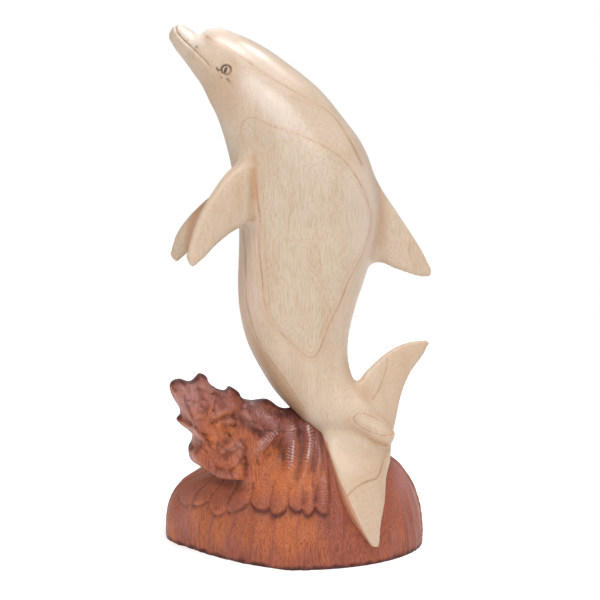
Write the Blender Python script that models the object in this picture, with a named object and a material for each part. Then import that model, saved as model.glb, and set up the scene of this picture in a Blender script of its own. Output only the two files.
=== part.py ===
"""A carved dolphin that stands on its tail in front of a carved wave.

Metres, +Z up, origin at the centre of the base's flat underside. The dolphin's belly faces -X,
its left side faces -Y, and it is one piece. The wave is the second piece, hollowed where the
tail lies in it.
"""

import math

import bpy
import numpy as np

# Figure
FIGURE_HEIGHT = 0.2195  # from the crown of the wave to the top of the beak
UNIT = FIGURE_HEIGHT / 219.5  # the ribs and fins below are written in these units

# Wave base
BASE_WIDTH = 0.1510
BASE_DEPTH = 0.1170
CROWN_HEIGHT = 0.0800
CROWN_X = 0.0020
CROWN_Y = -0.0080
LEFT_SHOULDER = 0.0485
RIGHT_SHOULDER = 0.0630
FRONT_SHOULDER = 0.0720
BACK_SHOULDER = 0.0660
# Fullness of the footprint's quarters: 2 is an ellipse, less is more pointed
RIGHT_FRONT_FULLNESS = 2.1
LEFT_FRONT_FULLNESS = 1.45
LEFT_BACK_FULLNESS = 1.8
RIGHT_BACK_FULLNESS = 2.0
LEFT_SET_BACK = 0.0170  # how far the left end stands behind the middle of the base
# Roundness of each side from crown to edge: 2 is an ellipse, more is squarer
RIGHT_ROUNDNESS = 2.6
LEFT_ROUNDNESS = 3.0
FRONT_ROUNDNESS = 1.9
BACK_ROUNDNESS = 2.3
SHOULDER_SHARE = 0.6  # where the shoulder's height is reached, from crown to edge

# Gouge work on the base
REED_COUNT = 34
REED_DEPTH = 0.0014
REED_UNEVENNESS = 0.16  # of a reed's width
FACET_DEPTH = 0.0004
STEP_DEPTH = 0.0018  # where the reeds end in front
# Depth of that step on the other sides, as shares of the front's
RIGHT_STEP_SHARE = 0.3
LEFT_STEP_SHARE = 0.9
BACK_STEP_SHARE = 0.5
STEP_RUN_SHARE = 0.006  # length of the step's slope, from crown to edge
SKIRT_SHARE = 0.855  # where the reeds end, as a share of the way from crown to edge
TONGUE_SHARE = 0.030  # how much further the middle of a reed runs
TONGUE_UNEVENNESS = 0.012
REED_SHARES = (0.14, 0.28, 0.41, 0.53, 0.64, 0.74)
SKIRT_STEPS = ((0.92, 0.85), (0.95, 0.6), (0.975, 0.35), (0.992, 0.15), (1.0, 0.0))

# Crest that curls to the left
CREST_LEFT = -0.0730
CREST_RIGHT = 0.0080
CREST_TOP = 0.1027
CREST_FOOT = 0.0400
CREST_Y = -0.0150
CREST_FRONT = 0.0250
CREST_BACK = 0.0200
CREST_ROUNDNESS = 2.6
CREST_THINNING = 0.55  # how much thinner it gets towards the dolphin

# Tail fluke on the wave's front
LOBE_THICKNESS = 0.0090
LOBE_PROUD = 0.0045
LOBE_TIP_HEIGHT = 0.0110
BED_DEPTH = 0.0180
BED_INSET = 0.06  # how far the bed stays inside the lobe's edges, as a share of the lobe's width
BED_ROUNDING = 0.0050

# Clearance between the two pieces
FIT_GAP = 0.0003

# Body from beak to tail: belly x and z, back x and z, side shift, half-width; z from the crown
RIBS = (
    (-69.7, 209.7, -62.2, 218.3, 0.0, 4.8),
    (-66.5, 204.5, -58.7, 216.1, 0.0, 6.6),
    (-62.3, 199.1, -53.4, 213.9, 0.0, 9.2),
    (-60.2, 196.3, -49.2, 215.7, 0.0, 12.2),
    (-56.7, 191.3, -42.5, 216.8, 0.0, 15.2),
    (-52.8, 185.8, -33.6, 214.0, 0.0, 17.5),
    (-48.4, 176.9, -18.4, 206.9, 0.0, 21.0),
    (-43.9, 167.9, -2.6, 196.3, 1.0, 24.0),
    (-40.6, 158.3, 13.5, 183.4, 2.0, 26.0),
    (-37.7, 147.5, 27.9, 166.5, 3.0, 27.5),
    (-35.0, 134.5, 40.4, 148.8, 3.0, 28.5),
    (-33.1, 120.2, 46.6, 129.9, 3.0, 29.0),
    (-31.7, 104.2, 49.1, 111.4, 3.0, 28.5),
    (-31.9, 88.8, 46.1, 94.2, 2.0, 28.0),
    (-32.5, 71.6, 40.6, 75.8, 1.0, 26.5),
    (-31.3, 54.5, 34.3, 57.5, -1.0, 24.5),
    (-27.6, 39.0, 31.0, 43.8, -3.0, 22.0),
    (-21.0, 25.3, 29.9, 30.9, -6.0, 19.5),
    (-12.1, 11.0, 31.6, 21.1, -9.0, 17.0),
    (0.5, -2.6, 33.8, 15.2, -13.0, 14.5),
    (10.6, -11.4, 36.6, 10.1, -18.0, 11.8),
    (23.0, -10.8, 40.3, 6.0, -21.0, 10.2),
    (33.8, -13.0, 44.7, 0.7, -23.0, 9.0),
    (42.6, -16.6, 50.0, -5.1, -26.0, 7.5),
    (49.8, -18.2, 53.6, -9.4, -28.0, 5.5),
)

# Blades from root to tip: leading edge x, y and z, trailing edge x, y and z, half-thickness
LEFT_FLIPPER = (
    (-14.0, -7.0, 152.0, -10.0, -7.0, 120.0, 6.0),
    (-26.4, -13.0, 145.0, -23.2, -13.0, 113.6, 5.6),
    (-36.4, -20.0, 139.3, -32.1, -19.0, 106.6, 4.6),
    (-46.3, -27.5, 128.4, -39.8, -26.5, 103.3, 3.6),
    (-53.8, -33.0, 117.8, -47.9, -32.0, 97.8, 2.9),
    (-58.9, -37.0, 107.4, -53.6, -36.0, 92.4, 2.3),
    (-62.8, -40.0, 94.4, -59.2, -40.0, 88.1, 1.7),
)
RIGHT_FLIPPER = (
    (-20.0, 14.0, 147.0, -14.0, 14.0, 113.0, 7.0),
    (-34.2, 24.0, 136.0, -30.9, 24.0, 107.9, 5.6),
    (-41.6, 28.0, 127.3, -37.7, 28.0, 102.9, 4.6),
    (-51.2, 33.0, 117.7, -45.1, 33.0, 98.4, 3.6),
    (-61.0, 37.0, 105.5, -53.3, 37.0, 92.8, 2.9),
    (-66.5, 40.0, 96.8, -58.9, 40.0, 87.0, 2.3),
    (-69.8, 42.5, 86.0, -65.2, 42.5, 81.2, 1.7),
)
DORSAL_FIN = (
    (34.0, 2.0, 150.0, 30.0, 2.0, 66.0, 8.0),
    (43.0, 2.0, 140.6, 39.5, 2.0, 78.5, 6.0),
    (49.8, 2.0, 128.6, 47.0, 2.0, 82.4, 4.9),
    (60.6, 2.0, 111.0, 58.5, 2.0, 79.8, 3.6),
    (67.9, 2.0, 99.8, 66.4, 2.0, 77.0, 2.8),
    (74.6, 2.0, 89.0, 73.1, 2.0, 75.0, 2.0),
    (78.6, 2.0, 81.2, 77.8, 2.0, 75.0, 1.3),
)
UPPER_LOBE = (
    (75.6, -2.0, 38.0, 77.7, -2.0, 35.4, 1.1),
    (67.5, -3.0, 37.4, 75.2, -3.0, 30.7, 1.8),
    (54.4, -6.0, 32.9, 66.6, -6.0, 19.8, 2.6),
    (41.0, -11.0, 23.1, 60.5, -10.0, 7.0, 3.4),
    (31.0, -16.0, 13.9, 56.6, -16.0, -5.8, 4.4),
    (12.2, -23.0, -12.0, 53.0, -24.0, -17.5, 6.5),
)
# Lower lobe, lying on the wave's front: share of the drop from root to tip, and the two edges' x
LOWER_LOBE = (
    (0.00, 14.4, 51.4),
    (0.18, 16.2, 48.4),
    (0.50, 21.0, 45.8),
    (0.74, 27.0, 43.5),
    (0.93, 34.0, 42.5),
    (1.00, 37.9, 42.0),
)
# Root of the lower lobe, as shares of the figure's height
LOBE_ROOT_DROP_SHARE = 0.091  # below the crown
LOBE_ROOT_SLANT_SHARE = 0.034  # how much lower the trailing edge starts
LOBE_ROOT_FRONT_SHARE = 0.105  # in front of the base's middle
LOBE_LEAN_SHARE = 0.55  # how far forward the lobe comes on its way down, at least

# Outline of the crest, as shares of its width from the left and of its height from its foot
CREST_OUTLINE = (
    (0.870, 0.655), (0.775, 0.680), (0.725, 0.730), (0.685, 0.755), (0.585, 0.735),
    (0.535, 0.750), (0.485, 0.820), (0.415, 0.870), (0.345, 0.850), (0.265, 0.925),
    (0.235, 0.980), (0.205, 1.000), (0.155, 0.960), (0.115, 0.935), (0.067, 0.957),
    (0.015, 0.922), (0.000, 0.870), (0.022, 0.775), (0.070, 0.665), (0.050, 0.590),
    (0.070, 0.550), (0.138, 0.485), (0.150, 0.430), (0.128, 0.345), (0.128, 0.250),
    (0.220, 0.170), (0.255, 0.120), (0.330, 0.020), (0.450, 0.000), (0.580, 0.030),
    (0.740, 0.120), (0.900, 0.280), (1.000, 0.500),
)
CREST_CORE = (0.43, 0.47)


def clear_scene():
    for obj in list(bpy.data.objects):
        bpy.data.objects.remove(obj)


def material(name, color, roughness):
    made = bpy.data.materials.new(name)
    made.use_nodes = True
    shader = made.node_tree.nodes["Principled BSDF"]
    shader.inputs["Base Color"].default_value = (*color, 1.0)
    shader.inputs["Roughness"].default_value = roughness
    shader.inputs["Metallic"].default_value = 0.0
    return made


def mesh_object(name, rings, first_pole, last_pole):
    """Closed body from rings of points, with a point that closes each end."""
    count, sides, _ = rings.shape
    points = np.concatenate([rings.reshape(-1, 3), [first_pole, last_pole]])
    faces = []
    for ring in range(count - 1):
        for side in range(sides):
            after = (side + 1) % sides
            low = ring * sides
            high = low + sides
            faces.append((low + side, low + after, high + after, high + side))
    end = (count - 1) * sides
    for side in range(sides):
        after = (side + 1) % sides
        faces.append((count * sides, after, side))
        faces.append((count * sides + 1, end + side, end + after))
    mesh = bpy.data.meshes.new(name)
    mesh.from_pydata(points.tolist(), [], faces)
    if signed_volume(points, faces) < 0:
        mesh.flip_normals()
    mesh.shade_smooth()
    made = bpy.data.objects.new(name, mesh)
    bpy.context.scene.collection.objects.link(made)
    return made


def signed_volume(points, faces):
    total = 0.0
    for face in faces:
        for second, third in zip(face[1:], face[2:]):
            total += np.dot(points[face[0]], np.cross(points[second], points[third]))
    return total / 6


def smooth_rows(rows, spans):
    """Rows read from a smooth curve through the given ones, a number of them in each span."""
    rows = np.asarray(rows, float)
    middles = (rows[:, 0:3] + rows[:, 3:6]) / 2
    lengths = np.linalg.norm(np.diff(middles, axis=0), axis=1)
    places = np.concatenate([[0.0], np.cumsum(lengths)])
    slopes = np.gradient(rows, places, axis=0)
    found = []
    for start in range(len(rows) - 1):
        length = lengths[start]
        for step in range(spans):
            t = step / spans
            found.append(
                (2 * t**3 - 3 * t**2 + 1) * rows[start]
                + (t**3 - 2 * t**2 + t) * length * slopes[start]
                + (3 * t**2 - 2 * t**3) * rows[start + 1]
                + (t**3 - t**2) * length * slopes[start + 1]
            )
    found.append(rows[-1])
    return np.array(found)


def loft(name, rows, spans, sides, fullness, caps, grow=0.0):
    """Closed body through sections that span from a leading to a trailing edge.

    A row holds both edges, the half-thickness and the bow of the section's middle. fullness is
    the exponent of the section's superellipse, and caps the length of the rounding at each end.
    """
    rows = smooth_rows(rows, spans)
    lead, trail = rows[:, 0:3], rows[:, 3:6]
    thickness, bow = rows[:, 6], rows[:, 7]
    centres = (lead + trail) / 2
    halves = (lead - trail) / 2
    paths = np.gradient(centres, axis=0)
    paths /= np.linalg.norm(paths, axis=1)[:, None]
    across = np.cross(halves, paths)
    across /= np.linalg.norm(across, axis=1)[:, None]
    widths = np.linalg.norm(halves, axis=1)
    turns = np.linspace(0, 2 * math.pi, sides, endpoint=False)
    share = 2 / fullness
    along = np.sign(np.cos(turns)) * np.abs(np.cos(turns)) ** share
    aside = np.sign(np.sin(turns)) * np.abs(np.sin(turns)) ** share

    def section(index, scale, advance):
        half = halves[index] * (1 + grow / widths[index]) * scale
        centre = centres[index] + paths[index] * advance
        side = across[index] * (thickness[index] + grow) * scale
        arch = across[index] * bow[index]
        return (
            centre
            + half * along[:, None]
            + side * aside[:, None]
            + arch * (1 - along**2)[:, None]
        )

    rings = []
    first, last = caps[0] + grow, caps[1] + grow
    rounding = (0.85, 0.5)
    for depth in rounding:
        rings.append(section(0, math.sqrt(1 - depth**2), -first * depth))
    for index in range(len(rows)):
        rings.append(section(index, 1.0, 0.0))
    for depth in reversed(rounding):
        rings.append(section(-1, math.sqrt(1 - depth**2), last * depth))
    starts = section(0, 0.0, -first).mean(axis=0)
    ends = section(-1, 0.0, last).mean(axis=0)
    return mesh_object(name, np.array(rings), starts, ends)


def helper(obj):
    """Marks an object that only cuts or joins another."""
    obj.hide_render = True
    obj.display_type = "WIRE"
    return obj


def boolean(obj, other, operation):
    modifier = obj.modifiers.new(f"{operation.title()} {other.name}", "BOOLEAN")
    modifier.operation = operation
    modifier.solver = "EXACT"
    modifier.object = other


# Shape of the wave without its gouge work
def foot_edge(turn):
    """Point of the footprint's edge in this direction from its centre."""
    cosine, sine = np.cos(turn), np.sin(turn)
    front = np.where(cosine > 0, RIGHT_FRONT_FULLNESS, LEFT_FRONT_FULLNESS)
    back = np.where(cosine > 0, RIGHT_BACK_FULLNESS, LEFT_BACK_FULLNESS)
    blend = np.minimum(np.abs(3.2 * sine * cosine), 1)
    power = 2 + (np.where(sine < 0, front, back) - 2) * blend**2 * (3 - 2 * blend)
    across = np.abs(cosine) / (BASE_WIDTH / 2)
    along = np.abs(sine) / (BASE_DEPTH / 2)
    reach = (across**power + along**power) ** (-1 / power)
    return reach * cosine, reach * sine


def set_back(x):
    """How far the base is pushed back here, growing from nothing in the middle to its left end."""
    return LEFT_SET_BACK * (np.maximum(-x, 0) / (BASE_WIDTH / 2)) ** 2


def crown_polar(x, y):
    """Direction and share of the way from the crown to the edge, of a point seen from above."""
    dx, dy = x - CROWN_X, y - set_back(x) - CROWN_Y
    low, high = 0.5, 100.0
    for _ in range(50):
        reach = (low + high) / 2
        outer_x, outer_y = CROWN_X + dx * reach, CROWN_Y + dy * reach
        turn = math.atan2(outer_y, outer_x)
        if math.hypot(outer_x, outer_y) < math.hypot(*foot_edge(turn)):
            low = reach
        else:
            high = reach
    return turn, 1 / reach


def by_side(turn, right, left, front, back):
    """A value that turns smoothly from one side of the wave to the next."""
    cosine, sine = np.cos(turn), np.sin(turn)
    return (
        right * np.maximum(cosine, 0) ** 2
        + left * np.maximum(-cosine, 0) ** 2
        + back * np.maximum(sine, 0) ** 2
        + front * np.maximum(-sine, 0) ** 2
    )


def mound_height(turn, share):
    """Height over the floor at a share of the way from the crown to the edge."""
    shoulder = by_side(turn, RIGHT_SHOULDER, LEFT_SHOULDER, FRONT_SHOULDER, BACK_SHOULDER)
    power = by_side(turn, RIGHT_ROUNDNESS, LEFT_ROUNDNESS, FRONT_ROUNDNESS, BACK_ROUNDNESS)
    ease = np.clip(share / SHOULDER_SHARE, 0, 1)
    ease = ease * ease * (3 - 2 * ease)
    top = CROWN_HEIGHT + (shoulder - CROWN_HEIGHT) * ease
    return top * np.maximum(1 - share**power, 0) ** (1 / power)


def front_face(x, z):
    """Y of the wave's front face at this x and height."""
    low, high = -BASE_DEPTH / 2, CROWN_Y
    for _ in range(40):
        middle = (low + high) / 2
        if mound_height(*crown_polar(x, middle)) < z:
            low = middle
        else:
            high = middle
    return low


def reed_edges():
    """Directions of the grooves between the reeds, spaced a little unevenly along the edge."""
    turns = np.linspace(0, 2 * math.pi, 1441)
    x, y = foot_edge(turns)
    walked = np.concatenate([[0.0], np.cumsum(np.hypot(np.diff(x), np.diff(y)))])
    numbers = np.arange(REED_COUNT + 1)
    uneven = REED_UNEVENNESS * np.sin(1.7 * (numbers % REED_COUNT))
    shares = (numbers + uneven) / REED_COUNT
    return np.interp(shares * walked[-1], walked, turns)


def mound():
    edges = reed_edges()
    phases = np.array([0.0, 0.25, 0.5, 0.75])
    turns = (edges[:-1, None] + np.diff(edges)[:, None] * phases).ravel()
    numbers = np.repeat(np.arange(REED_COUNT), len(phases))
    phase = np.tile(phases, REED_COUNT)
    swell = np.sqrt(1 - (2 * phase - 1) ** 2)
    tongue = TONGUE_SHARE + TONGUE_UNEVENNESS * np.sin(2.4 * numbers)
    tongue_end = SKIRT_SHARE + tongue * swell
    step = STEP_DEPTH * by_side(turns, RIGHT_STEP_SHARE, LEFT_STEP_SHARE, 1.0, BACK_STEP_SHARE)
    rows = []
    for share in REED_SHARES:
        fade = np.clip((share - 0.2) / 0.4, 0, 1)
        rows.append((np.full(len(turns), share), REED_DEPTH * fade * (swell - 1)))
    rows.append((tongue_end * 0.95, REED_DEPTH * (swell - 1)))
    rows.append((tongue_end, REED_DEPTH * (swell - 1)))
    rows.append((tongue_end + STEP_RUN_SHARE, -step))
    facet = FACET_DEPTH * (swell - 1)
    for share, depth in SKIRT_STEPS:
        rows.append((np.full(len(turns), share), facet - step * depth))
    edge_x, edge_y = foot_edge(turns)
    run = np.hypot(edge_x - CROWN_X, edge_y - CROWN_Y)
    rings = []
    for share, relief in rows:
        x = CROWN_X + (edge_x - CROWN_X) * share
        y = CROWN_Y + (edge_y - CROWN_Y) * share
        z = mound_height(turns, share)
        fall = (mound_height(turns, share - 0.02) - z) / 0.02
        slope = np.hypot(run, fall)
        x += (edge_x - CROWN_X) / run * fall / slope * relief
        y += (edge_y - CROWN_Y) / run * fall / slope * relief
        z = np.maximum(z + run / slope * relief, 0)
        rings.append(np.stack([x, y + set_back(x), z], axis=-1))
    rings[-1][:, 2] = 0
    crown = (CROWN_X, CROWN_Y, CROWN_HEIGHT)
    return mesh_object("wave_base", np.array(rings), crown, (0, 0, 0))


def swell_at(share):
    """Thickness of the crest at a share of the way from its core to its outline."""
    return (1 - share**CREST_ROUNDNESS) ** (1 / CREST_ROUNDNESS)


def crest():
    width, height = CREST_RIGHT - CREST_LEFT, CREST_TOP - CREST_FOOT
    outline = np.array(CREST_OUTLINE) * (width, height) + (CREST_LEFT, CREST_FOOT)
    core = np.array(CREST_CORE) * (width, height) + (CREST_LEFT, CREST_FOOT)
    calm = sum(np.roll(outline, turn, axis=0) for turn in range(-3, 4)) / 7
    rings = []
    shares = (0.35, 0.62, 0.80, 0.91, 0.975)
    for share in shares:
        rings.append((share, -CREST_FRONT * swell_at(share)))
    rings.append((1.0, 0.0))
    for share in reversed(shares):
        rings.append((share, CREST_BACK * swell_at(share)))
    found = []
    for share, depth in rings:
        ragged = share**2
        flat = core + (outline * ragged + calm * (1 - ragged) - core) * share
        along = np.clip((flat[:, 0] - core[0]) / (CREST_RIGHT - core[0]), 0, 1)
        taper = 1 - CREST_THINNING * along
        y = CREST_Y + depth * taper
        found.append(np.stack([flat[:, 0], y, flat[:, 1]], axis=-1))
    front = (core[0], CREST_Y - CREST_FRONT, core[1])
    back = (core[0], CREST_Y + CREST_BACK, core[1])
    return mesh_object("crest", np.array(found), front, back)


# Figure
def body_rows():
    rows = []
    for belly_x, belly_z, back_x, back_z, shift, half_width in RIBS:
        row = (belly_x, shift, belly_z, back_x, shift, back_z, half_width, 0.0)
        rows.append(np.array(row) * UNIT)
    return raised(rows)


def blade_rows(blade):
    return raised([np.array((*row, 0.0)) * UNIT for row in blade])


def raised(rows):
    rows = np.array(rows)
    rows[:, [2, 5]] += CROWN_HEIGHT
    return rows


def fluke_rows():
    """Upper lobe down to the keel, then the lower lobe on the wave's front face."""
    rows = list(blade_rows(UPPER_LOBE))
    root = lobe_root()
    slant = LOBE_ROOT_SLANT_SHARE * FIGURE_HEIGHT
    for drop, lead_x, trail_x in LOWER_LOBE:
        z = root + (LOBE_TIP_HEIGHT - root) * drop
        trail_z = z - slant * (1 - drop)
        lead = (lead_x * UNIT, lobe_y(lead_x * UNIT, z), z)
        trail = (trail_x * UNIT, lobe_y(trail_x * UNIT, trail_z), trail_z)
        middle = lobe_y((lead_x + trail_x) / 2 * UNIT, (z + trail_z) / 2)
        bow = (lead[1] + trail[1]) / 2 - middle
        rows.append(np.array((*lead, *trail, LOBE_THICKNESS / 2, bow)))
    return np.array(rows)


def lobe_root():
    """Height of the lower lobe's root over the floor, at its leading edge."""
    return CROWN_HEIGHT - LOBE_ROOT_DROP_SHARE * FIGURE_HEIGHT


def lobe_y(x, z):
    """Y of the lower lobe's middle, on the wave's face or in front of it near the root."""
    on_face = front_face(x, z) + LOBE_THICKNESS / 2 - LOBE_PROUD
    leaning = -LOBE_ROOT_FRONT_SHARE * FIGURE_HEIGHT - LOBE_LEAN_SHARE * (lobe_root() - z)
    return min(on_face, leaning)


def lobe_bed():
    """Wood of the wave that fills the space behind the lobe's root."""
    rows = fluke_rows()[len(UPPER_LOBE) - 1 : len(UPPER_LOBE) + 4]
    lead, trail = rows[:, 0:3].copy(), rows[:, 3:6].copy()
    rows[:, 0:3] = lead + (trail - lead) * BED_INSET
    rows[:, 3:6] = trail + (lead - trail) * BED_INSET
    rows[:, [1, 4]] += BED_DEPTH / 2
    rows[:, 6] = BED_DEPTH / 2
    return loft("lobe_bed", rows, 2, 12, 2.3, (BED_ROUNDING, BED_ROUNDING))


def body(name, grow=0.0):
    return loft(name, body_rows(), 2, 24, 2.3, (3.7 * UNIT, 2.0 * UNIT), grow)


def fluke(name, grow=0.0):
    return loft(name, fluke_rows(), 2, 16, 2.6, (1.2 * UNIT, 1.2 * UNIT), grow)


def dolphin():
    made = body("dolphin")
    tip = (UNIT, 2.0 * UNIT)
    for name, blade in (
        ("left_flipper", LEFT_FLIPPER),
        ("right_flipper", RIGHT_FLIPPER),
        ("dorsal_fin", DORSAL_FIN),
    ):
        boolean(made, helper(loft(name, blade_rows(blade), 2, 14, 2.2, tip)), "UNION")
    boolean(made, helper(fluke("fluke")), "UNION")
    made.data.materials.append(material("pale_wood", (0.74, 0.55, 0.36), 0.45))
    return made


def wave_base():
    made = mound()
    boolean(made, helper(crest()), "UNION")
    boolean(made, helper(lobe_bed()), "UNION")
    boolean(made, helper(body("body_seat", FIT_GAP)), "DIFFERENCE")
    boolean(made, helper(fluke("fluke_seat", FIT_GAP)), "DIFFERENCE")
    made.data.materials.append(material("stained_wood", (0.33, 0.085, 0.035), 0.28))
    return made


def main():
    clear_scene()
    dolphin()
    wave_base()


main()
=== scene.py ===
"""Looks of a carved dolphin that stands on its tail against a carved wave.

Metres, +Z up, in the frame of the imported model. The dolphin is pale sanded wood, and the wave
is stained red-brown and lacquered. The tables of ribs, blades, paths, spots and cuts are in
units of the figure: the top of the beak stands 219.1 units over the wave's crown, and heights
in units start at the crown. Paths and spots lie in the XZ plane, as seen from the front.
"""

from __future__ import annotations

import logging
import math
from dataclasses import dataclass
from enum import Enum
from functools import reduce

import bmesh
import bpy
import numpy as np
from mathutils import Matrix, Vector


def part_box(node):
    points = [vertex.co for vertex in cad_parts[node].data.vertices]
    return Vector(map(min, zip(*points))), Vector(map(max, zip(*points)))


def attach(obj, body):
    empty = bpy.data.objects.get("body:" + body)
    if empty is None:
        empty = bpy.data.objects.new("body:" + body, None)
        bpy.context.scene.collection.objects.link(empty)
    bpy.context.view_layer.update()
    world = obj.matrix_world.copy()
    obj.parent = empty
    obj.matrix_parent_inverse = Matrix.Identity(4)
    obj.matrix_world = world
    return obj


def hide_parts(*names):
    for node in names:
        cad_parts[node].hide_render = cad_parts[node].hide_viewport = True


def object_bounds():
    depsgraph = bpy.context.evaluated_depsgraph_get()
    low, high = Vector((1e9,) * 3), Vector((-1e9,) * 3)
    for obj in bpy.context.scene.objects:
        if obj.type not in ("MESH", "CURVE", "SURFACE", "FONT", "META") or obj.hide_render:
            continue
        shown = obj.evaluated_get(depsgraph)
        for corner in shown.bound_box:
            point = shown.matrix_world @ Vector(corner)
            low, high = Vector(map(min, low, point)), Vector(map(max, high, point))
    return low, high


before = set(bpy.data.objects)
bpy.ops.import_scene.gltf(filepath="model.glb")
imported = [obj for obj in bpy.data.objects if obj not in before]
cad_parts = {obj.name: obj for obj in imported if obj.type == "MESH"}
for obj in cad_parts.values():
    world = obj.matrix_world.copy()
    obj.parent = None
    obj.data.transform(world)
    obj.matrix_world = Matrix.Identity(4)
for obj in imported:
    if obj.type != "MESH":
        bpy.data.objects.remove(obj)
CAD_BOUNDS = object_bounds()

Array = np.ndarray
Socket = bpy.types.NodeSocket
Path = tuple[tuple[float, float], ...]
Table = tuple[tuple[float, ...], ...]
PathTable = tuple[tuple[Path, float, float], ...]
log = logging.getLogger("carving")

CROWN_HEIGHT = 0.0800
BEAK_UNITS = 219.1
UNIT = (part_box("dolphin")[1].z - CROWN_HEIGHT) / BEAK_UNITS
MILLIMETRE = 0.001
EDGE_ROOM = 0.00002 * np.ones(3)


class Wood(Enum):
    """The two finishes of the carving, by the record's material slots."""

    PALE = "pale_wood"
    STAINED = "stained_wood"


def ease(value: Array, low: float, high: float) -> Array:
    """Smooth step from 0 at low to 1 at high.

    Args:
        value: Numbers of any shape.
        low: Where the step starts. It may be the larger one.
        high: Where the step ends.

    Returns:
        3t^2 - 2t^3, with t the share of the way from low to high, held between 0 and 1.
    """
    t = np.clip((value - low) / (high - low), 0, 1)
    return t * t * (3 - 2 * t)


def bell(value: Array, width: float) -> Array:
    """Gaussian bump: 1 at 0, exp(-1/2) at one width away."""
    return np.exp(-0.5 * (value / width) ** 2)


@dataclass(frozen=True)
class Nearness:
    """Where points lie by a path.

    Gap is the distance, side the distance with a sign, and walked the length along the path to
    the spot nearest each point. Length is the whole path's.
    """

    gap: Array
    side: Array
    walked: Array
    length: float


def near_path(x: Array, z: Array, path: Path) -> Nearness:
    """Finds how points lie by an open path in the XZ plane.

    Each segment's nearest point is its start plus the clipped projection times its run, and
    the smallest of the distances counts. The side is the distance to that segment's line,
    positive on the left of the path's direction.

    Args:
        x: First coordinate of the points.
        z: Second coordinate of the points.
        path: Corners of the path, in the points' unit.

    Returns:
        The distances, sides and walked lengths, with the path's whole length.
    """
    corners = np.asarray(path, float)
    best = np.full(np.shape(x), np.inf)
    side = np.zeros(np.shape(x))
    walked = np.zeros(np.shape(x))
    before = 0.0
    for start, end in zip(corners[:-1], corners[1:]):
        run = end - start
        length = float(np.hypot(*run))
        dx, dz = x - start[0], z - start[1]
        along = np.clip((dx * run[0] + dz * run[1]) / length**2, 0, 1)
        gap = np.hypot(dx - along * run[0], dz - along * run[1])
        nearer = gap < best
        best = np.where(nearer, gap, best)
        side = np.where(nearer, (run[0] * dz - run[1] * dx) / length, side)
        walked = np.where(nearer, before + along * length, walked)
        before += length
    return Nearness(best, side, walked, before)


def along_paths(x: Array, z: Array, table: PathTable) -> list[Array]:
    """Soft bands: for each path with its width and strength, strength times bell of the distance."""
    return [strength * bell(near_path(x, z, path).gap, width) for path, width, strength in table]


def soft_spots(x: Array, z: Array, spots: Table) -> Array:
    """Sum of soft oval spots.

    Args:
        x: First coordinate in units.
        z: Height over the crown in units.
        spots: Middle in x and z, width, height and strength of each spot.

    Returns:
        The sum of strength times bell of the distance, counted in widths and heights.
    """
    return sum(
        strength * bell(np.hypot((x - at_x) / wide, (z - at_z) / tall), 1.0)
        for at_x, at_z, wide, tall, strength in spots
    )


def over_crown(points: Array) -> tuple[Array, Array, Array]:
    """Points in units, with heights from the wave's crown."""
    x, y, z = points.T / UNIT
    return x, y, z - CROWN_HEIGHT / UNIT


def metre_rows(rows: Array) -> Array:
    """Turns a loft's rows from units over the crown into metres over the floor.

    Args:
        rows: Leading edge, trailing edge, half-thickness, bow and fullness of each section.

    Returns:
        The same rows, with all but the fullness changed.
    """
    rows[:, :8] *= UNIT
    rows[:, [2, 5]] += CROWN_HEIGHT
    return rows


@dataclass(frozen=True)
class Stroke:
    """One pass of the gouge, or one raised vein, seen from the front in units."""

    path: Path
    width: float
    height: float
    ripple: float = 0.0

    def strength(self, x: Array, z: Array) -> tuple[Array, Array]:
        """How strong the stroke is at each point: a bell across it, faded at both ends.

        Args:
            x: First coordinate in units.
            z: Height over the crown in units.

        Returns:
            The strength from 0 to 1, and the length walked along the stroke.
        """
        near = near_path(x, z, self.path)
        fade = min(0.3 * near.length, 2.5 * self.width)
        ends = ease(near.walked, -0.01, fade) * ease(near.walked, near.length + 0.01, near.length - fade)
        return bell(near.gap, self.width) * (0.25 + 0.75 * ends), near.walked


def slow_noise(points: Array, wavelength: float, seed: int, waves: int = 14) -> Array:
    """Smooth random field: the sum of cosines in random directions, about -1.5 to 1.5.

    Args:
        points: Points in metres.
        wavelength: Mean length of the waves in metres.
        seed: Number that fixes the directions and phases.
        waves: Number of cosines.

    Returns:
        One number for each point, with a mean square of 1/2.
    """
    rng = np.random.default_rng(seed)
    ways = rng.normal(size=(waves, 3))
    ways /= np.linalg.norm(ways, axis=1)[:, None]
    ways *= 2 * math.pi / wavelength * rng.uniform(0.6, 1.4, (waves, 1))
    phases = rng.uniform(0, 2 * math.pi, waves)
    return np.cos(points @ ways.T + phases).sum(axis=1) / math.sqrt(waves)


def smooth_path(corners: Path, steps: int, closed: bool = False) -> Path:
    """Corners of a Catmull-Rom curve through the given corners.

    Args:
        corners: Points that the curve passes.
        steps: Points in each span.
        closed: Whether the curve returns to its first corner.

    Returns:
        The points of the curve, each the cubic blend of the four corners round it.
    """
    points = np.asarray(corners, float)
    if closed:
        padded = np.concatenate([points[-1:], points, points[:2]])
    else:
        padded = np.concatenate([2 * points[:1] - points[1:2], points, 2 * points[-1:] - points[-2:-1]])
    t = (np.arange(steps) / steps)[None, :, None]
    p0, p1, p2, p3 = (padded[k : len(padded) - 3 + k, None] for k in range(4))
    curve = p1 + 0.5 * t * (p2 - p0 + t * (2 * p0 - 5 * p1 + 4 * p2 - p3 + t * (3 * (p1 - p2) + p3 - p0)))
    found = np.concatenate([curve.reshape(-1, 2), padded[-2:-1]])
    return tuple(map(tuple, found))


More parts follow.
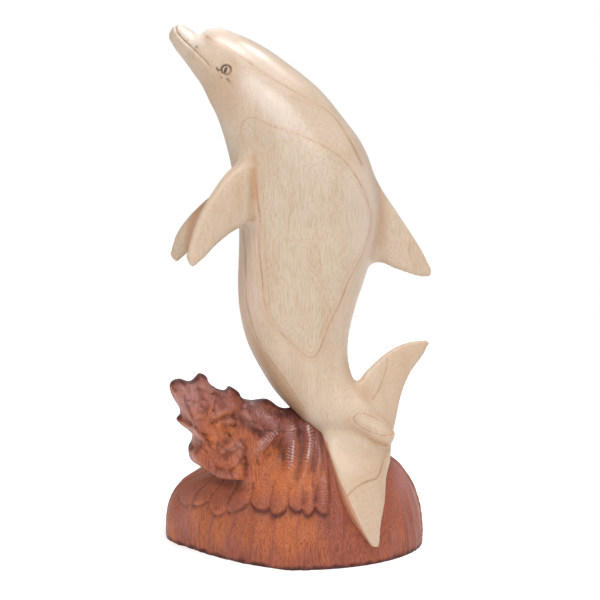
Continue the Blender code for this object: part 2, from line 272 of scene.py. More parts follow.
@dataclass(frozen=True)
class Shell:
    """A closed grid of points: rings one after another, and a pole that closes each end."""

    rings: Array
    first_pole: Array
    last_pole: Array

    def points(self) -> Array:
        """All rings' points, then the two poles."""
        return np.concatenate([self.rings.reshape(-1, 3), [self.first_pole, self.last_pole]])

    def faces(self, start: int) -> list[list[int]]:
        """Faces of the grid and of its two fans.

        Args:
            start: Number of the shell's first point in the whole mesh.

        Returns:
            Quads between neighbouring rings, and triangles round each pole.
        """
        count, sides = self.rings.shape[:2]
        here = np.arange(count * sides).reshape(count, sides)
        after = np.roll(here, -1, axis=1)
        quads = np.stack([here[:-1], after[:-1], after[1:], here[1:]], axis=-1).reshape(-1, 4)
        low = np.stack([np.full(sides, count * sides), after[0], here[0]], axis=-1)
        high = np.stack([np.full(sides, count * sides + 1), here[-1], after[-1]], axis=-1)
        return [*(quads + start).tolist(), *(low + start).tolist(), *(high + start).tolist()]

    def outward(self) -> Shell:
        """Turns the faces outwards.

        Returns:
            This shell, or the one with its rings run the other way if the sum of the volumes
            between the middle and each face is negative.
        """
        flat = self.points()
        centre = flat.mean(axis=0)
        a, b = self.rings[:-1], np.roll(self.rings, -1, axis=1)[:-1]
        c = np.roll(self.rings, -1, axis=1)[1:]
        volume = np.einsum("ijk,ijk->", a - centre, np.cross(b - centre, c - centre))
        if volume > 0:
            return self
        return Shell(self.rings[:, ::-1], self.first_pole, self.last_pole)


def curve_rows(rows: Array, spans: int) -> Array:
    """Rows read from a smooth curve through the given ones.

    Between two rows the curve is the cubic Hermite blend of the rows and their slopes, and the
    slopes are taken over the distance between the rows' middles.

    Args:
        rows: One row for each section: leading edge, trailing edge and further values.
        spans: Rows to make in each span.

    Returns:
        The rows of the curve, ending with the last one given.
    """
    middles = (rows[:, 0:3] + rows[:, 3:6]) / 2
    lengths = np.linalg.norm(np.diff(middles, axis=0), axis=1)
    slopes = np.gradient(rows, np.concatenate([[0.0], np.cumsum(lengths)]), axis=0)
    t = (np.arange(spans) / spans)[None, :, None]
    run = lengths[:, None, None]
    made = (
        (2 * t**3 - 3 * t**2 + 1) * rows[:-1, None]
        + (t**3 - 2 * t**2 + t) * run * slopes[:-1, None]
        + (3 * t**2 - 2 * t**3) * rows[1:, None]
        + (t**3 - t**2) * run * slopes[1:, None]
    )
    return np.concatenate([made.reshape(-1, rows.shape[1]), rows[-1:]])


def loft(rows: Array, spans: int, sides: int, caps: tuple[float, float]) -> Shell:
    """Closed surface through sections that span from a leading to a trailing edge.

    The point at turn a of a section is its centre, plus the half-width times cos(a), plus the
    half-thickness times sin(a), both raised to 2/fullness with their signs kept, plus the bow
    times 1 - cos^2. Each end is rounded by three shrinking sections.

    Args:
        rows: Leading edge, trailing edge, half-thickness, bow and fullness of each section.
        spans: Sections to make for each span between rows.
        sides: Points round a section.
        caps: Length of the rounding at the first and at the last end.

    Returns:
        The surface, with its faces pointing out.
    """
    rows = curve_rows(rows, spans)
    lead, trail = rows[:, 0:3], rows[:, 3:6]
    thickness, bow, fullness = rows[:, 6], rows[:, 7], rows[:, 8]
    centres, halves = (lead + trail) / 2, (lead - trail) / 2
    paths = np.gradient(centres, axis=0)
    paths /= np.linalg.norm(paths, axis=1)[:, None]
    across = np.cross(halves, paths)
    across /= np.linalg.norm(across, axis=1)[:, None]
    turns = np.linspace(0, 2 * math.pi, sides, endpoint=False)
    power = (2 / fullness)[:, None]
    along = np.sign(np.cos(turns)) * np.abs(np.cos(turns)) ** power
    aside = np.sign(np.sin(turns)) * np.abs(np.sin(turns)) ** power
    offsets = (
        halves[:, None] * along[..., None]
        + across[:, None] * (thickness[:, None] * aside + bow[:, None] * (1 - along**2))[..., None]
    )
    depths = np.array([0.3, 0.6, 0.85])
    shrink = np.sqrt(1 - depths**2)[:, None, None]
    start = centres[0] - paths[0] * caps[0] * depths[:, None]
    end = centres[-1] + paths[-1] * caps[1] * depths[:, None]
    rings = np.concatenate([
        (start[:, None] + offsets[0] * shrink)[::-1],
        centres[:, None] + offsets,
        end[:, None] + offsets[-1] * shrink,
    ])
    first = centres[0] - paths[0] * caps[0]
    last = centres[-1] + paths[-1] * caps[1]
    return Shell(rings, first, last).outward()


def read_rows(items: bpy.types.bpy_prop_collection, name: str, width: int, kind: type) -> Array:
    """Reads numbers from all points or edges of a mesh at once.

    Args:
        items: The points or edges.
        name: Property to read.
        width: How many numbers each of them has.
        kind: Type of the numbers.

    Returns:
        One row for each item.
    """
    flat = np.empty(len(items) * width, kind)
    items.foreach_get(name, flat)
    return flat.reshape(-1, width)


@dataclass
class Skin:
    """One closed surface: a Blender mesh whose points are read and moved as whole arrays."""

    mesh: bpy.types.Mesh

    @classmethod
    def of_shells(cls, shells: list[Shell], voxel: float) -> Skin:
        """One skin round overlapping shells, made on a grid of voxels.

        Args:
            shells: Closed surfaces that overlap.
            voxel: Size of the grid's cells in metres.

        Returns:
            The joined skin.
        """
        points = [shell.points() for shell in shells]
        starts = np.cumsum([0, *map(len, points)])
        faces = [face for shell, start in zip(shells, starts) for face in shell.faces(int(start))]
        rough = bpy.data.meshes.new("rough")
        rough.from_pydata(np.concatenate(points).tolist(), [], faces)
        holder = bpy.data.objects.new("rough", rough)
        bpy.context.scene.collection.objects.link(holder)
        joined = holder.modifiers.new("Skin", "REMESH")
        joined.mode = "VOXEL"
        joined.voxel_size = voxel
        graph = bpy.context.evaluated_depsgraph_get()
        made = bpy.data.meshes.new_from_object(holder.evaluated_get(graph))
        bpy.data.objects.remove(holder)
        bpy.data.meshes.remove(rough)
        return cls(made)

    @property
    def points(self) -> Array:
        """The mesh's points, one row each."""
        return read_rows(self.mesh.vertices, "co", 3, np.float32).astype(float)

    @points.setter
    def points(self, points: Array) -> None:
        """Moves the mesh's points."""
        self.mesh.vertices.foreach_set("co", points.astype(np.float32).ravel())
        self.mesh.update()

    @property
    def normals(self) -> Array:
        """Unit normals at the points."""
        return read_rows(self.mesh.vertex_normals, "vector", 3, np.float32).astype(float)

    @property
    def edges(self) -> Array:
        """Numbers of each edge's two points."""
        return read_rows(self.mesh.edges, "vertices", 2, np.int32)

    def averages(self, values: Array) -> Array:
        """Mean of each point's neighbours, along the edges.

        Args:
            values: One row of numbers for each point.

        Returns:
            The neighbours' sum over their count, row by row.
        """
        edges = self.edges
        ends = np.concatenate([edges[:, 0], edges[:, 1]])
        others = np.concatenate([edges[:, 1], edges[:, 0]])
        count = np.bincount(ends, minlength=len(values))
        sums = [np.bincount(ends, column[others], minlength=len(values)) for column in values.T]
        return np.stack(sums, axis=-1) / count[:, None]

    def relax(self, rounds: int, weight: Array | float = 1.0, hold: float = 0.53) -> None:
        """Smooths the skin: each round moves points towards their neighbours' mean and back.

        Args:
            rounds: Number of rounds.
            weight: Share of the move for each point.
            hold: Size of the step back, which keeps the volume. 0 leaves it out.
        """
        points = self.points
        share = np.broadcast_to(np.asarray(weight, float), len(points))[:, None] * 0.5
        for _ in range(rounds):
            points += share * (self.averages(points) - points)
            if hold:
                points -= share * hold / 0.5 * (self.averages(points) - points)
        self.points = points

    def along(self, path: Path, width: float) -> Array:
        """Soft band over the skin: the bell of the distance to a path, in units."""
        x, _, z = over_crown(self.points)
        return bell(near_path(x, z, path).gap, width)

    def push(self, distance: Array) -> None:
        """Moves each point along its normal by this distance in metres."""
        self.points = self.points + self.normals * distance[:, None]

    def refine(self, wanted: Array, cuts: int) -> None:
        """Splits the faces whose points are all wanted, so that fine cuts fit there.

        Args:
            wanted: Whether each point is in a place with fine cuts.
            cuts: New points on each edge.
        """
        numbers = np.flatnonzero(wanted[self.edges].all(axis=1))
        editing = bmesh.new()
        editing.from_mesh(self.mesh)
        editing.edges.ensure_lookup_table()
        edges = [editing.edges[int(number)] for number in numbers]
        bmesh.ops.subdivide_edges(editing, edges=edges, cuts=cuts, use_grid_fill=True)
        editing.to_mesh(self.mesh)
        editing.free()

    def hollows(self, rounds: int) -> Array:
        """How hollow the surface is at each point, in 1/mm: positive in grooves.

        The neighbours' mean minus the point, along the normal, over the square of the edge's
        mean length, smoothed over some rounds.

        Args:
            rounds: Rounds of smoothing.

        Returns:
            One number for each point.
        """
        points, normals, edges = self.points, self.normals, self.edges
        lift = np.einsum("ij,ij->i", self.averages(points) - points, normals)
        length = np.linalg.norm(points[edges[:, 0]] - points[edges[:, 1]], axis=1)
        mean = np.bincount(edges.ravel(), np.repeat(length, 2)) / np.bincount(edges.ravel())
        bend = (lift / mean**2 * MILLIMETRE)[:, None]
        for _ in range(rounds):
            bend = 0.5 * bend + 0.5 * self.averages(bend)
        return bend[:, 0]

    def mark(self, name: str, values: Array) -> None:
        """Stores one number for each point, for the materials to read."""
        layer = self.mesh.attributes.new(name, "FLOAT", "POINT")
        layer.data.foreach_set("value", values.astype(np.float32))

    def finish(self, name: str, node: str, wood: Wood, material: bpy.types.Material) -> bpy.types.Object:
        """Makes the shown piece.

        Args:
            name: The piece's name.
            node: CAD node that it stands for.
            wood: Slot of its finish; not used.
            material: Its finish.

        Returns:
            The piece, at the origin, riding on the root body.
        """
        low, high = np.array([list(corner) for corner in CAD_BOUNDS])
        self.points = np.clip(self.points, low + EDGE_ROOM * (1, 1, 0), high - EDGE_ROOM)
        self.mesh.name = name
        self.mesh.materials.clear()
        self.mesh.materials.append(material)
        self.mesh.shade_smooth()
        piece = bpy.data.objects.new(name, self.mesh)
        bpy.context.scene.collection.objects.link(piece)
        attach(piece, "root")
        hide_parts(node)
        log.info("%s: %d points, %d faces", name, len(self.mesh.vertices), len(self.mesh.polygons))
        return piece


# The wave's plain form
@dataclass(frozen=True)
class MoundForm:
    """The domed body of the wave, seen in directions and shares of the way from its crown."""

    width: float = 0.1510
    depth: float = 0.1170
    crown_x: float = 0.0020
    crown_y: float = -0.0080
    left_shoulder: float = 0.0485
    right_shoulder: float = 0.0630
    front_shoulder: float = 0.0720
    back_shoulder: float = 0.0660
    right_front_fullness: float = 2.1
    left_front_fullness: float = 1.45
    left_back_fullness: float = 1.8
    right_back_fullness: float = 2.0
    left_set_back: float = 0.0170
    right_roundness: float = 2.6
    left_roundness: float = 3.0
    front_roundness: float = 1.9
    back_roundness: float = 2.3
    shoulder_share: float = 0.6

    def foot_edge(self, turn: Array) -> tuple[Array, Array]:
        """Footprint's edge: a superellipse whose fullness differs in each quarter.

        Args:
            turn: Directions from the footprint's centre.

        Returns:
            x and y of the edge, before its left end is set back.
        """
        cosine, sine = np.cos(turn), np.sin(turn)
        front = np.where(cosine > 0, self.right_front_fullness, self.left_front_fullness)
        back = np.where(cosine > 0, self.right_back_fullness, self.left_back_fullness)
        blend = np.minimum(np.abs(3.2 * sine * cosine), 1)
        power = 2 + (np.where(sine < 0, front, back) - 2) * blend**2 * (3 - 2 * blend)
        across = np.abs(cosine) / (self.width / 2)
        along = np.abs(sine) / (self.depth / 2)
        reach = (across**power + along**power) ** (-1 / power)
        return reach * cosine, reach * sine

    def set_back(self, x: Array) -> Array:
        """How far the base is pushed back at x: the square of the share of its left half."""
        return self.left_set_back * (np.maximum(-x, 0) / (self.width / 2)) ** 2

    def polar(self, x: Array, y: Array) -> tuple[Array, Array]:
        """Direction and share of the way from the crown to the edge, by halving intervals.

        Args:
            x: First coordinate of the points, seen from above.
            y: Second coordinate.

        Returns:
            The direction from the footprint's centre, and the share of the way.
        """
        dx, dy = x - self.crown_x, y - self.set_back(x) - self.crown_y
        low, high = np.full(np.shape(x), 0.5), np.full(np.shape(x), 100.0)
        for _ in range(36):
            reach = (low + high) / 2
            outer_x, outer_y = self.crown_x + dx * reach, self.crown_y + dy * reach
            edge = np.hypot(*self.foot_edge(np.arctan2(outer_y, outer_x)))
            inside = np.hypot(outer_x, outer_y) < edge
            low, high = np.where(inside, reach, low), np.where(inside, high, reach)
        reach = (low + high) / 2
        turn = np.arctan2(self.crown_y + dy * reach, self.crown_x + dx * reach)
        return turn, 1 / reach

    def by_side(self, turn: Array, right: float, left: float, front: float, back: float) -> Array:
        """A value that turns smoothly from one side to the next.

        Args:
            turn: Directions.
            right: The value towards +X.
            left: The value towards -X.
            front: The value towards -Y.
            back: The value towards +Y.

        Returns:
            The sum of the four, each weighted by the squared cosine to its side.
        """
        cosine, sine = np.cos(turn), np.sin(turn)
        sides = ((right, cosine), (left, -cosine), (back, sine), (front, -sine))
        return sum(value * np.maximum(way, 0) ** 2 for value, way in sides)

    def height(self, turn: Array, share: Array) -> Array:
        """Height over the floor: a superellipse from the eased shoulder height to the edge.

        Args:
            turn: Directions.
            share: Shares of the way from the crown to the edge.

        Returns:
            The heights in metres.
        """
        shoulder = self.by_side(
            turn, self.right_shoulder, self.left_shoulder, self.front_shoulder, self.back_shoulder
        )
        power = self.by_side(
            turn, self.right_roundness, self.left_roundness, self.front_roundness, self.back_roundness
        )
        top = CROWN_HEIGHT + (shoulder - CROWN_HEIGHT) * ease(share, 0, self.shoulder_share)
        return top * np.maximum(1 - share**power, 0) ** (1 / power)

    def front_face(self, x: Array, z: Array) -> Array:
        """Finds the front face by halving intervals.

        Args:
            x: First coordinate in metres.
            z: Height over the floor in metres.

        Returns:
            Y of the front face there.
        """
        low = np.full(np.shape(x), -self.depth / 2)
        high = np.full(np.shape(x), self.crown_y)
        for _ in range(30):
            middle = (low + high) / 2
            under = self.height(*self.polar(x, middle)) < z
            low, high = np.where(under, middle, low), np.where(under, high, middle)
        return low

    def shell(self, rings: int, sides: int) -> Shell:
        """The plain mound as a closed grid.

        Args:
            rings: Steps from the crown to the edge.
            sides: Directions round it.

        Returns:
            The grid of shares by directions, with poles at the crown and under the middle.
        """
        turns = np.linspace(0, 2 * math.pi, sides, endpoint=False)
        shares = np.sin(np.linspace(0.02, math.pi / 2, rings))
        edge_x, edge_y = self.foot_edge(turns)
        x = self.crown_x + (edge_x - self.crown_x) * shares[:, None]
        y = self.crown_y + (edge_y - self.crown_y) * shares[:, None]
        z = self.height(turns[None], shares[:, None])
        grid = np.stack([x, y + self.set_back(x), z], axis=-1)
        return Shell(grid, np.array([self.crown_x, self.crown_y, CROWN_HEIGHT]), np.zeros(3)).outward()


MOUND = MoundForm()


# The dolphin
@dataclass
class Dolphin:
    """The figure: body, fins and fluke in one skin, then its face and cuts."""

    voxel: float = 0.00100
    ribs: Table = (
        (-69.7, 209.7, -62.2, 218.3, 0, 4.8, 2.2),
        (-66.5, 204.5, -58.7, 216.1, 0, 6.6, 2.2),
        (-62.3, 199.1, -53.4, 213.9, 0, 9.2, 2.2),
        (-60.2, 196.3, -49.2, 215.7, 0, 12.2, 2.2),
        (-56.7, 191.3, -42.5, 216.8, 0, 15.2, 2.2),
        (-52.8, 185.8, -33.6, 214, 0, 17.8, 2.3),
        (-48.4, 176.9, -18.4, 206.9, 0, 21, 2.35),
        (-43.9, 167.9, -2.6, 196.3, 1, 24, 2.4),
        (-40.6, 158.3, 13.5, 183.4, 2, 26, 2.5),
        (-37.7, 147.5, 27.9, 166.5, 3, 27.5, 2.5),
        (-35, 134.5, 40.4, 148.8, 3, 28.5, 2.5),
        (-33.1, 120.2, 46.6, 129.9, 3, 29, 2.5),
        (-31.7, 104.2, 49.1, 111.4, 3, 28.5, 2.5),
        (-31.9, 88.8, 46.1, 94.2, 2, 28, 2.5),
        (-32.5, 71.6, 40.6, 75.8, 1, 26.5, 2.5),
        (-31.3, 54.5, 34.3, 57.5, -1, 24.5, 2.5),
        (-27.6, 39, 31, 43.8, -3, 22, 2.4),
        (-21, 25.3, 29.9, 30.9, -6, 19.5, 2.3),
        (-12.1, 11, 31.6, 21.1, -9, 17, 2.3),
        (0.5, -2.6, 33.8, 15.2, -13, 14.5, 2.3),
        (10.6, -11.4, 36.6, 10.1, -18, 11.8, 2.3),
        (23, -10.8, 40.3, 6, -21, 10.2, 2.3),
        (33.8, -13, 44.7, 0.7, -23, 9, 2.3),
        (42.6, -16.6, 50, -5.1, -26, 7.5, 2.3),
        (49.8, -18.2, 53.6, -9.4, -28, 5.5, 2.3),
    )
    left_flipper: Table = (
        (-14, -10, 156, -10, -10, 119, 9),
        (-28, -16.5, 148.5, -23.2, -16, 112.6, 7.6),
        (-38, -22, 139.6, -32.1, -21, 106.4, 5.4),
        (-46.8, -27.5, 128.6, -39.8, -26.5, 103.2, 3.9),
        (-53.8, -33, 117.8, -47.9, -32, 97.8, 3.1),
        (-58.9, -37, 107.4, -53.6, -36, 92.4, 2.5),
        (-62.8, -40, 94.6, -59.2, -40, 88.1, 1.9),
    )
    right_flipper: Table = (
        (-20, 14, 147, -14, 14, 113, 8),
        (-31, 24, 135, -29, 24, 107.9, 6.2),
        (-39.6, 28, 126.2, -37, 28, 102.9, 4.8),
        (-50.2, 33, 117, -45.1, 33, 98.4, 3.8),
        (-61, 37, 105.5, -53.3, 37, 92.8, 3.1),
        (-66.5, 40, 96.8, -58.9, 40, 87, 2.5),
        (-69.8, 42.5, 86.2, -65.2, 42.5, 81.2, 1.9),
    )
    dorsal_fin: Table = (
        (34, 2, 150, 30, 2, 66, 9),
        (43, 2, 140.6, 39.5, 2, 78.5, 6.6),
        (49.8, 2, 128.6, 47, 2, 82.4, 5.1),
        (60.6, 2, 111, 58.5, 2, 79.8, 3.8),
        (67.9, 2, 99.8, 66.4, 2, 77, 2.9),
        (74.6, 2, 89, 73.1, 2, 75, 2.2),
        (78.6, 2, 81.2, 77.8, 2, 75, 1.5),
    )
    upper_lobe: Table = (
        (75.6, -2, 38, 77.7, -2, 35.4, 1.4),
        (67.5, -3, 37.4, 75.2, -3, 30.7, 2),
        (54.4, -6, 32.9, 66.6, -6, 19.8, 2.7),
        (41, -11, 23.1, 60.5, -10, 7, 3.5),
        (31, -16, 13.9, 56.6, -16, -5.8, 4.5),
        (12.2, -23, -12, 53, -24, -17.5, 6.5),
    )
    lower_lobe: Table = (
        (0.00, 14.4, 51.4),
        (0.18, 16.2, 48.4),
        (0.50, 21, 45.3),
        (0.74, 27, 42.3),
        (0.93, 34, 41),
        (1.00, 37.2, 40.6),
    )
    lobe_fullness: tuple[float, ...] = (3.4, 4.0, 4.5, 5.0, 5.0, 5.0)
    left_fullness: float = 3.6
    right_fullness: float = 2.6
    dorsal_fullness: float = 2.2
    fluke_fullness: float = 2.6
    spans: int = 8
    body_sides: int = 96
    fluke_sides: int = 72
    fin_sides: int = 48
    body_ends: tuple[float, float] = (3.7, 2.0)
    fluke_ends: tuple[float, float] = (1.2, 0.4)
    fin_ends: tuple[float, float] = (1.0, 2.0)
    lobe_thickness: float = 0.0090
    lobe_proud: float = 0.0045
    lobe_tip_height: float = 0.0106
    lobe_root_drop: float = 20.0
    lobe_root_slant: float = 7.5
    lobe_root_front: float = 23.0
    lobe_lean: float = 0.55
    mouth: Path = (
        (-66.6, 220), (-66.6, 217.7), (-66.3, 215.5), (-65.1, 213.1), (-63.1, 210.7), (-60.4, 207.9),
        (-59, 206.7), (-55.1, 202.6), (-51.1, 198.5), (-47.9, 194.9),
    )
    lip_depth: float = 0.50
    lip_width: float = 0.36
    lip_ridge: float = 0.42
    melon_crease: Path = ((-53.6, 214.5), (-51.8, 212.7), (-51, 208.8), (-50.5, 204.5))
    eye: tuple[float, float] = (-39.8, 193.6)
    eye_ring: float = 2.6
    eyeball: float = 2.2
    eye_height: float = 0.50
    lid_offset: float = 0.95
    crease_depth: float = 0.7
    crease_width: float = 1.6
    groove_depths: tuple[float, float] = (2.0, 1.6)
    groove_width: float = 2.3
    chamfer_slope: float = 0.42
    chamfer_reach: float = 3.5
    eye_cuts: PathTable = (
        (((-45, 194.6), (-44.3, 193.3), (-42.9, 193.5)), 0.33, 1),
        (((-42.8, 190.2), (-42.3, 189)), 0.28, 0.4),
        (((-39.3, 188.7), (-37.7, 186.9)), 0.32, 0.85),
    )
    beak_dots: Table = ((-55.5, 206.2, 0.40, 0.9), (-60.5, 209.7, 0.36, 0.5))
    flipper_groove: Path = (
        (-24.7, 144), (-24.9, 138), (-25, 131), (-24.6, 124), (-25.3, 115.5), (-26.3, 110.6),
    )
    band_edge: Path = (
        (14.6, -14), (15.8, -18), (20.4, -32.1), (24.6, -41.5), (29, -51.4), (37.5, -69.4),
    )
    growth_oval: Path = (
        (-30.8, 165.2), (-24.9, 167.7), (-15.6, 163.3), (-2.3, 159.2), (10.2, 153.7), (21.5, 146.9),
        (30.2, 137.9), (37.6, 124.9), (41.4, 112.2), (40.9, 104.3), (35.6, 89), (29.1, 77.9),
        (23.4, 63.9), (16.9, 51.4), (12.8, 40.2), (9.4, 34.4), (6, 33.4), (1, 36.6),
        (-4.6, 41.8), (-14.2, 52), (-19, 62.7), (-20.6, 80.1), (-22.1, 96.8), (-21.4, 109.4),
        (-23.1, 123.4), (-24.2, 133.2), (-28.5, 149.7), (-31.8, 159),
    )
    back_line: Path = (
        (-50.2, 212.2), (-45.5, 208.8), (-40.8, 207.2), (-30.7, 200.4), (-18.5, 191.5), (-4.7, 183.3),
        (9.4, 175.5), (16.7, 171), (22.5, 165.4), (26.6, 159), (31, 151.5), (36.2, 140.9),
    )
    belly_line: Path = (
        (-30.2, 104), (-29.3, 93.1), (-29, 79.2), (-28.8, 65), (-26.5, 53.9), (-23.8, 45.4),
        (-19.5, 37), (-14.7, 30), (-9.2, 22.5), (-3.6, 13.9), (3, 4),
    )
    small_lines: tuple[Path, ...] = (
        ((66.9, 97.5), (66.1, 90.8), (67.3, 86.1), (71, 80)),
        ((52.6, 29.5), (51.6, 23.9), (50.1, 19.5), (46.6, 12.2), (42.5, 7.7)),
        ((50.6, -20), (48.2, -23.6), (45.2, -29.2), (43, -32.2), (41.4, -33.1), (37, -33.6),
         (32.6, -34.6), (27.6, -37), (23.6, -40.6)),
        ((29.8, -1), (32.1, 1.7), (36.7, 1.4), (43.1, -1.5), (50.4, -6.7), (52, -10.4),
         (47, -10.5), (40, -8.8), (33.5, -5.2), (29.8, -1)),
    )
    # Painted shade, brownish: along the groove behind each flipper, the dorsal fin's root, the fluke's roots
    # and below the eye.
    tan_shade_paths: PathTable = (
        (((-25.3, 139), (-24.8, 131), (-24.8, 124)), 1.5, 1),
        (((-25, 146), (-24.8, 131), (-25.4, 112)), 1.6, 0.50),
        (((46.7, 132.4), (48.4, 122.9), (49.6, 110.9), (49, 96)), 2.6, 0.55),
        (((30, 27), (33, 19), (38.5, 11.5)), 3.2, 0.40),
        (((26, -2.5), (30.4, -6.2), (36.1, -10.6), (42.7, -14.4), (51, -17.3)), 1.5, 0.45),
        (((-42, 184), (-45, 176)), 9, 0.35),
    )
    strip_tan_shade: float = 0.56
    # Painted shadow of the near flipper on the far one.
    far_shade_streak: Path = ((-60, 90), (-57.2, 104.1), (-54.6, 110.8), (-47.5, 121.3))
    line_strengths: tuple[float, ...] = (0.80, 0.65, 0.75, 0.62, 0.66, 0.95, 0.75)
    fillets: PathTable = (
        (((-35, 151), (-27, 140), (-26, 124), (-29, 108)), 8, 1),
        (((40, 146), (46, 124), (49, 100), (43, 80)), 5.5, 1),
        (((31, 22), (38, 12), (47, 4)), 3, 0.5),
        (((11, -9), (20, -12.5), (29, -15.5)), 4.5, 1),
    )
    collar: Path = ((-33, 153), (-25, 147), (-23, 138))
    knee: Path = ((18, -22), (30, -24), (40, -24))
    # Painted sheen: pale highlights along the beak's top, the melon, the upper flank, the back and the
    # belly's left edge, where the lights are reflected.
    sheen_paths: PathTable = (
        (((-65.5, 219.5), (-60, 214), (-55, 209.5)), 2.6, 0.42),
        (((-46, 213), (-36, 206), (-20, 196), (-6, 184)), 3.6, 0.18),
        (((-27, 186.5), (-17, 177.5), (-7, 165)), 5, 0.27),
        (((33, 136), (38, 122), (39, 108), (36, 96)), 5, 0.17),
        (((-30, 112), (-29.5, 88), (-28.5, 70), (-26, 58)), 3.5, 0.10),
    )

    def blade_rows(self, blade: Table, fullness: float) -> Array:
        """The loft's rows of a fin without bow, from its sections in units."""
        return metre_rows(np.array([(*row, 0.0, fullness) for row in blade]))

    def body_rows(self) -> Array:
        """The loft's rows of the body: belly and back are the edges, its half-width the thickness."""
        bx, bz, kx, kz, shift, half, fullness = np.array(self.ribs).T
        return metre_rows(np.stack([bx, shift, bz, kx, shift, kz, half, 0 * bx, fullness], axis=-1))

    def lobe_y(self, x: Array, z: Array) -> Array:
        """Where the lower lobe's middle lies in depth.

        Args:
            x: First coordinate in metres.
            z: Height over the floor in metres.

        Returns:
            Y on the wave's face, or of the plane that leans in front of it.
        """
        on_face = MOUND.front_face(x, z) + self.lobe_thickness / 2 - self.lobe_proud
        root = CROWN_HEIGHT - self.lobe_root_drop * UNIT
        return np.minimum(on_face, -self.lobe_root_front * UNIT - self.lobe_lean * (root - z))

    def fluke_rows(self) -> Array:
        """Rows of the upper lobe down to the keel, then of the lower lobe on the wave.

        Returns:
            The loft's rows in metres. The lower lobe is bowed to follow the wave's face.
        """
        upper = self.blade_rows(self.upper_lobe, self.fluke_fullness)
        drop, lead_x, trail_x = np.array(self.lower_lobe).T
        root = CROWN_HEIGHT - self.lobe_root_drop * UNIT
        z = root + (self.lobe_tip_height - root) * drop
        trail_z = z - self.lobe_root_slant * UNIT * (1 - drop)
        lead_y, trail_y = self.lobe_y(lead_x * UNIT, z), self.lobe_y(trail_x * UNIT, trail_z)
        middle = self.lobe_y((lead_x + trail_x) / 2 * UNIT, (z + trail_z) / 2)
        thick = np.full(len(z), self.lobe_thickness / 2)
        lower = np.stack([
            lead_x * UNIT, lead_y, z, trail_x * UNIT, trail_y, trail_z,
            thick, (lead_y + trail_y) / 2 - middle, self.lobe_fullness,
        ], axis=-1)
        return np.concatenate([upper, lower])

    def form(self, rows: Array, sides: int, ends: tuple[float, float]) -> Shell:
        """One loft of the figure, with the roundings of its ends in units."""
        return loft(rows, self.spans, sides, (ends[0] * UNIT, ends[1] * UNIT))

    def shells(self) -> list[Shell]:
        """The overlapping forms of the figure.

        Returns:
            The body, the left and the right flipper, the dorsal fin and the fluke.
        """
        fins = (
            (self.left_flipper, self.left_fullness),
            (self.right_flipper, self.right_fullness),
            (self.dorsal_fin, self.dorsal_fullness),
        )
        return [
            self.form(self.body_rows(), self.body_sides, self.body_ends),
            *(self.form(self.blade_rows(*fin), self.fin_sides, self.fin_ends) for fin in fins),
            self.form(self.fluke_rows(), self.fluke_sides, self.fluke_ends),
        ]

    def root_weight(self, skin: Skin) -> Array:
        """Share of the fillets at each point: the highest of the bands along the fins' roots."""
        x, _, z = over_crown(skin.points)
        return np.clip(1.15 * np.maximum.reduce(along_paths(x, z, self.fillets)), 0, 1)

    def carve(self, skin: Skin) -> None:
        """Cuts the mouth, the eyes, the creases and the flippers' grooves into the skin.

        The lips are a narrow bell along the mouth with a low ridge above it. The groove behind
        each flipper is a broad bell that fades at both ends. The lower lobe's edge along its
        red-brown band is chamfered: it falls evenly towards its border.

        Args:
            skin: The figure's skin, fine enough round the head.
        """
        x, y, z = over_crown(skin.points)
        head = ease(z, 178, 184)
        lips = near_path(x, z, self.mouth)
        end = ease(x, -47.2, -50.5)
        ridge = bell(lips.side + 1.45, 0.65) * ease(lips.gap, 4, 2.2)
        relief = head * end * (self.lip_ridge * ridge - self.lip_depth * bell(lips.gap, self.lip_width))
        crease = near_path(x, z, self.melon_crease).gap
        relief -= head * self.crease_depth * bell(crease, self.crease_width) * ease(z, 203, 212)
        relief += head * self.eye_relief(x, z)
        groove = near_path(x, z, self.flipper_groove).gap
        deep = ease(z, 150, 124) * ease(z, 102, 122)
        depth = np.where(y < 0, *self.groove_depths)
        relief -= depth * bell(groove, self.groove_width) * deep * ease(np.abs(y), 8, 13)
        band = near_path(x, z, self.band_edge).side
        lobe = ease(z, -15, -21) * ease(x, 41, 38) * ease(y, -16, -20)
        relief -= lobe * self.chamfer_slope * np.clip(-band, 0, self.chamfer_reach)
        skin.push(relief * UNIT)
        tip = 0.50 * ease(x, -57.5, -60.5) + 0.22
        lip_ink = end * bell(lips.gap, 0.32) * tip * (0.8 + 0.2 * np.sin(x * 2.3))
        dots = sum(
            strength * bell(np.hypot(x - at_x, z - at_z), width)
            for at_x, at_z, width, strength in self.beak_dots
        )
        ink = np.maximum.reduce([self.eye_ink(x, z), lip_ink, dots * (y < 0)])
        skin.mark("ink", np.clip(head * ink, 0, 1))

    def eye_relief(self, x: Array, z: Array) -> Array:
        """Height of the eye: a domed eyeball in an incised ring, with a lid and a slit pupil.

        Args:
            x: First coordinate in units.
            z: Height over the crown in units.

        Returns:
            The height in units.
        """
        reach = np.hypot(x - self.eye[0], z - self.eye[1])
        dome = self.eye_height * np.sqrt(np.maximum(1 - (reach / self.eyeball) ** 2, 0))
        ring = -0.6 * bell(reach - self.eye_ring, 0.34)
        lid = 0.30 * bell(reach - self.eye_ring - self.lid_offset, 0.5)
        return dome + ring + lid - 0.35 * self.pupil(x, z) - 0.45 * self.wrinkles(x, z)

    def pupil(self, x: Array, z: Array) -> Array:
        """The slanted slit of the pupil.

        Args:
            x: First coordinate in units.
            z: Height over the crown in units.

        Returns:
            1 in the slit, by a narrow bell about a short line.
        """
        ex, ez = self.eye
        slit = near_path(x, z, ((ex - 0.60, ez - 1.05), (ex - 0.35, ez - 0.1), (ex + 0.15, ez + 0.95)))
        return np.clip(1.3 * bell(slit.gap, 0.50), 0, 1)

    def wrinkles(self, x: Array, z: Array) -> Array:
        """1 in the small cuts round the eye: a hook in front, and two nicks below."""
        return np.maximum.reduce(along_paths(x, z, self.eye_cuts))

